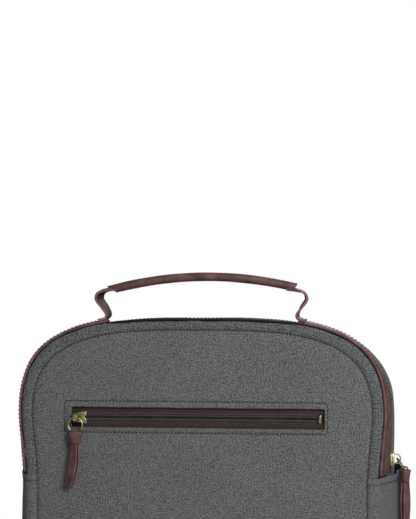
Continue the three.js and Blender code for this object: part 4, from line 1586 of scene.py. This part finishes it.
columns = [(-1 + 2 * i / 12) * 0.93 for i in range(13)]
pad_shape = loft(pad_rows(3.6, columns))
bmesh.ops.solidify(pad_shape, geom=pad_shape.faces[:], thickness=-7.2 * MM)
bmesh.ops.recalc_face_normals(pad_shape, faces=pad_shape.faces)
puffed = puff(pad_shape, 3.5 * MM, 2.4 * MM)
for _ in range(6):
    bmesh.ops.smooth_vert(puffed, verts=puffed.verts, factor=0.5,
                          use_axis_x=True, use_axis_y=True, use_axis_z=True)
puffed.normal_update()
centre_path = upright(PAD_PATH, 70)


def from_pad_edge(point):
    """How far a point lies inside the quilting line, which follows the pad's edge."""
    return abs(point.x) / MM - (pad_half_width(point.z / MM) - 6.5)


for vert in puffed.verts:
    if vert.normal.y > 0.35 and -200 < vert.co.z / MM < -6:
        near = from_pad_edge(vert.co) / 1.9
        vert.co -= vert.normal * 1.5 * MM * math.exp(-near * near)
puffed_mesh = bpy.data.meshes.new("puffed_pad")
puffed.to_mesh(puffed_mesh)
puffed.free()
print("pad:", len(puffed_mesh.polygons), "faces")


# %% Shoulder pads, binding, webbing and buckles
def ribbon(path_points, half, thickness, dome=0.3):
    """Webbing along a path in Y and Z, its width along X."""
    path = upright(path_points, 60)
    rows = []
    for share in (-1, -0.92, -0.6, -0.2, 0.2, 0.6, 0.92, 1):
        rows.append([p + Vector((share * half * MM, dome * MM * (1 - share * share), 0)) for p in path])
    bm = loft(rows)
    face_towards(bm, (0, 1, 0))
    bmesh.ops.solidify(bm, geom=bm.faces[:], thickness=thickness * MM)
    return bm


def placed(bm, frame_matrix):
    bmesh.ops.transform(bm, matrix=frame_matrix, verts=bm.verts)
    return bm


def edge_path(side_x, count=120):
    path = upright(PAD_PATH[1:], count)
    return [p + Vector((side_x * pad_half_width(p.z / MM) * MM, 0, 0)) for p in path]


WEBBING_HALF = 12.5
WEBBING_PATH = [(10, -214), (14, -226), (17, -231), (15, -240), (13, -262), (12, -290), (8, -318),
                (0.5, -331), (-2.5, -341)]
TAIL_PATH = [(24, -206), (23, -216), (19.5, -227), (20, -237.5), (23, -262), (24, -290)]
FOLD_PATH = [(22.6, -280), (25.9, -283), (26.2, -291)]
outline = edge_path(-1) + [centre_path[-1] + Vector((0, 0, -1.5 * MM))] + edge_path(1)[::-1]
outline = resample(outline, 260)
for side, label in SIDES:
    to_bag = strap_frame(side, label)
    body = f"strap_{label}"

    pad_bm = bmesh.new()
    pad_bm.from_mesh(puffed_mesh)
    cube_uv(pad_bm)
    pad = add_piece(f"padded_strap_{label}", placed(pad_bm, to_bag), canvas, None,
                    (f"shoulder_pad_{label}",))
    smooth(pad, 1)
    finish_mesh(pad)
    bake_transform(pad)

    binding_rows = []
    for k in range(7):
        angle = math.pi * (k / 6 - 0.5)
        row = []
        for i, p in enumerate(outline):
            ahead = (outline[min(i + 1, len(outline) - 1)] - outline[max(i - 1, 0)]).normalized()
            out = Vector((0, 1, 0)).cross(ahead).normalized()
            if out.x * p.x < 0 and abs(p.x) > 2 * MM:
                out.negate()
            edge = out * (1.8 * MM * math.cos(angle) - 0.1 * MM)
            row.append(p + edge + Vector((0, 2.6 * MM * math.sin(angle), 0)))
        binding_rows.append(row)
    binding = loft(binding_rows)
    bmesh.ops.solidify(binding, geom=binding.faces[:], thickness=0.6 * MM)
    binding = add_piece(f"strap_binding_{label}", placed(binding, to_bag), black_canvas, None)
    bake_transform(binding)

    webbing = placed(ribbon(WEBBING_PATH, WEBBING_HALF, 1.8), to_bag)
    webbing = add_piece(f"webbing_{label}", webbing, webbing_cloth, None,
                        (f"strap_webbing_{label}",))
    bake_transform(webbing)
    tail = ribbon(TAIL_PATH, WEBBING_HALF, 1.8)
    end_fold = ribbon(FOLD_PATH, WEBBING_HALF, 1.6)
    add_piece(f"webbing_free_end_{label}", placed(join_meshes([tail, end_fold]), to_bag), webbing_cloth, body,
              (f"webbing_tail_{label}",))

    bars = [block((36 * MM, 5 * MM, 4.6 * MM), (0, 0, z * MM), 1.4 * MM, 3) for z in (-11, 0, 11)]
    rails = [block((4.8 * MM, 5.2 * MM, 26.5 * MM), (x * MM, 0, 0), 1.6 * MM, 3) for x in (-16, 16)]
    teeth = [block((26 * MM, 1.2 * MM, 0.9 * MM), (0, 2.8 * MM, z * MM), 0.3 * MM, 1)
             for z in (-11.8, -10.2)]
    buckle = join_meshes(bars + rails + teeth)
    lean = Matrix.Rotation(math.radians(-14), 3, "X")
    bmesh.ops.rotate(buckle, cent=(0, 0, 0), matrix=lean, verts=buckle.verts)
    bmesh.ops.translate(buckle, vec=(0, 19 * MM, -222 * MM), verts=buckle.verts)
    add_piece(f"ladder_buckle_{label}", placed(buckle, to_bag), buckle_plastic, body,
              (f"strap_buckle_{label}",))
print("shoulder straps ready")

# %% [markdown]
# ## Inside the bag
# The board, the foam, the linings and the sleeve are copies of their frame nodes. They follow the
# soft shape of the bag, and the two that reach the crown are sunk a little below it.


# %% Inner pieces
def inner_copy(name, node_name, material, body, sink):
    """A merged copy of a frame node, softened with the crown and sunk a little below it."""
    bm = bmesh.new()
    bm.from_mesh(frame["nodes"][node_name].data)
    bmesh.ops.remove_doubles(bm, verts=bm.verts, dist=1e-6)
    bmesh.ops.recalc_face_normals(bm, faces=bm.faces)
    for vert in bm.verts:
        crown = max((vert.co.z - HEIGHT + CROWN) / CROWN, 0.0)
        vert.co = soften(vert.co)
        vert.co.z -= sink * crown
        if sink:
            vert.co.x *= 1 - 0.008
    sharp = [e for e in bm.edges if e.calc_face_angle(0) > math.radians(60)]
    bmesh.ops.bevel(bm, geom=sharp, offset=0.2 * MM, affect="EDGES", segments=1, profile=0.5, material=-1)
    bmesh.ops.triangulate(bm, faces=[f for f in bm.faces if len(f.verts) > 4])
    cube_uv(bm)
    add_piece(name, bm, material, body, (node_name,)).data.shade_flat()


inner_copy("main_lining_cloth", "main_lining", lining_cloth, "bag", 3.2 * MM)
inner_copy("back_foam_sheet", "back_foam", pad_foam, "bag", 1.0 * MM)
inner_copy("laptop_sleeve_cloth", "laptop_sleeve", lining_cloth, "bag", 0.0)
inner_copy("front_pocket_lining", "front_pocket_bag", lining_cloth, "flap", 0.0)
inner_copy("stiff_base_board", "base_board", board_plastic, "bag", 0.0)
print("inner pieces ready")

# %% [markdown]
# ## The size
# The dressed model's size is printed.

# %% Size
low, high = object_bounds()
print("visual size", [round(b - a, 3) for a, b in zip(low, high)])
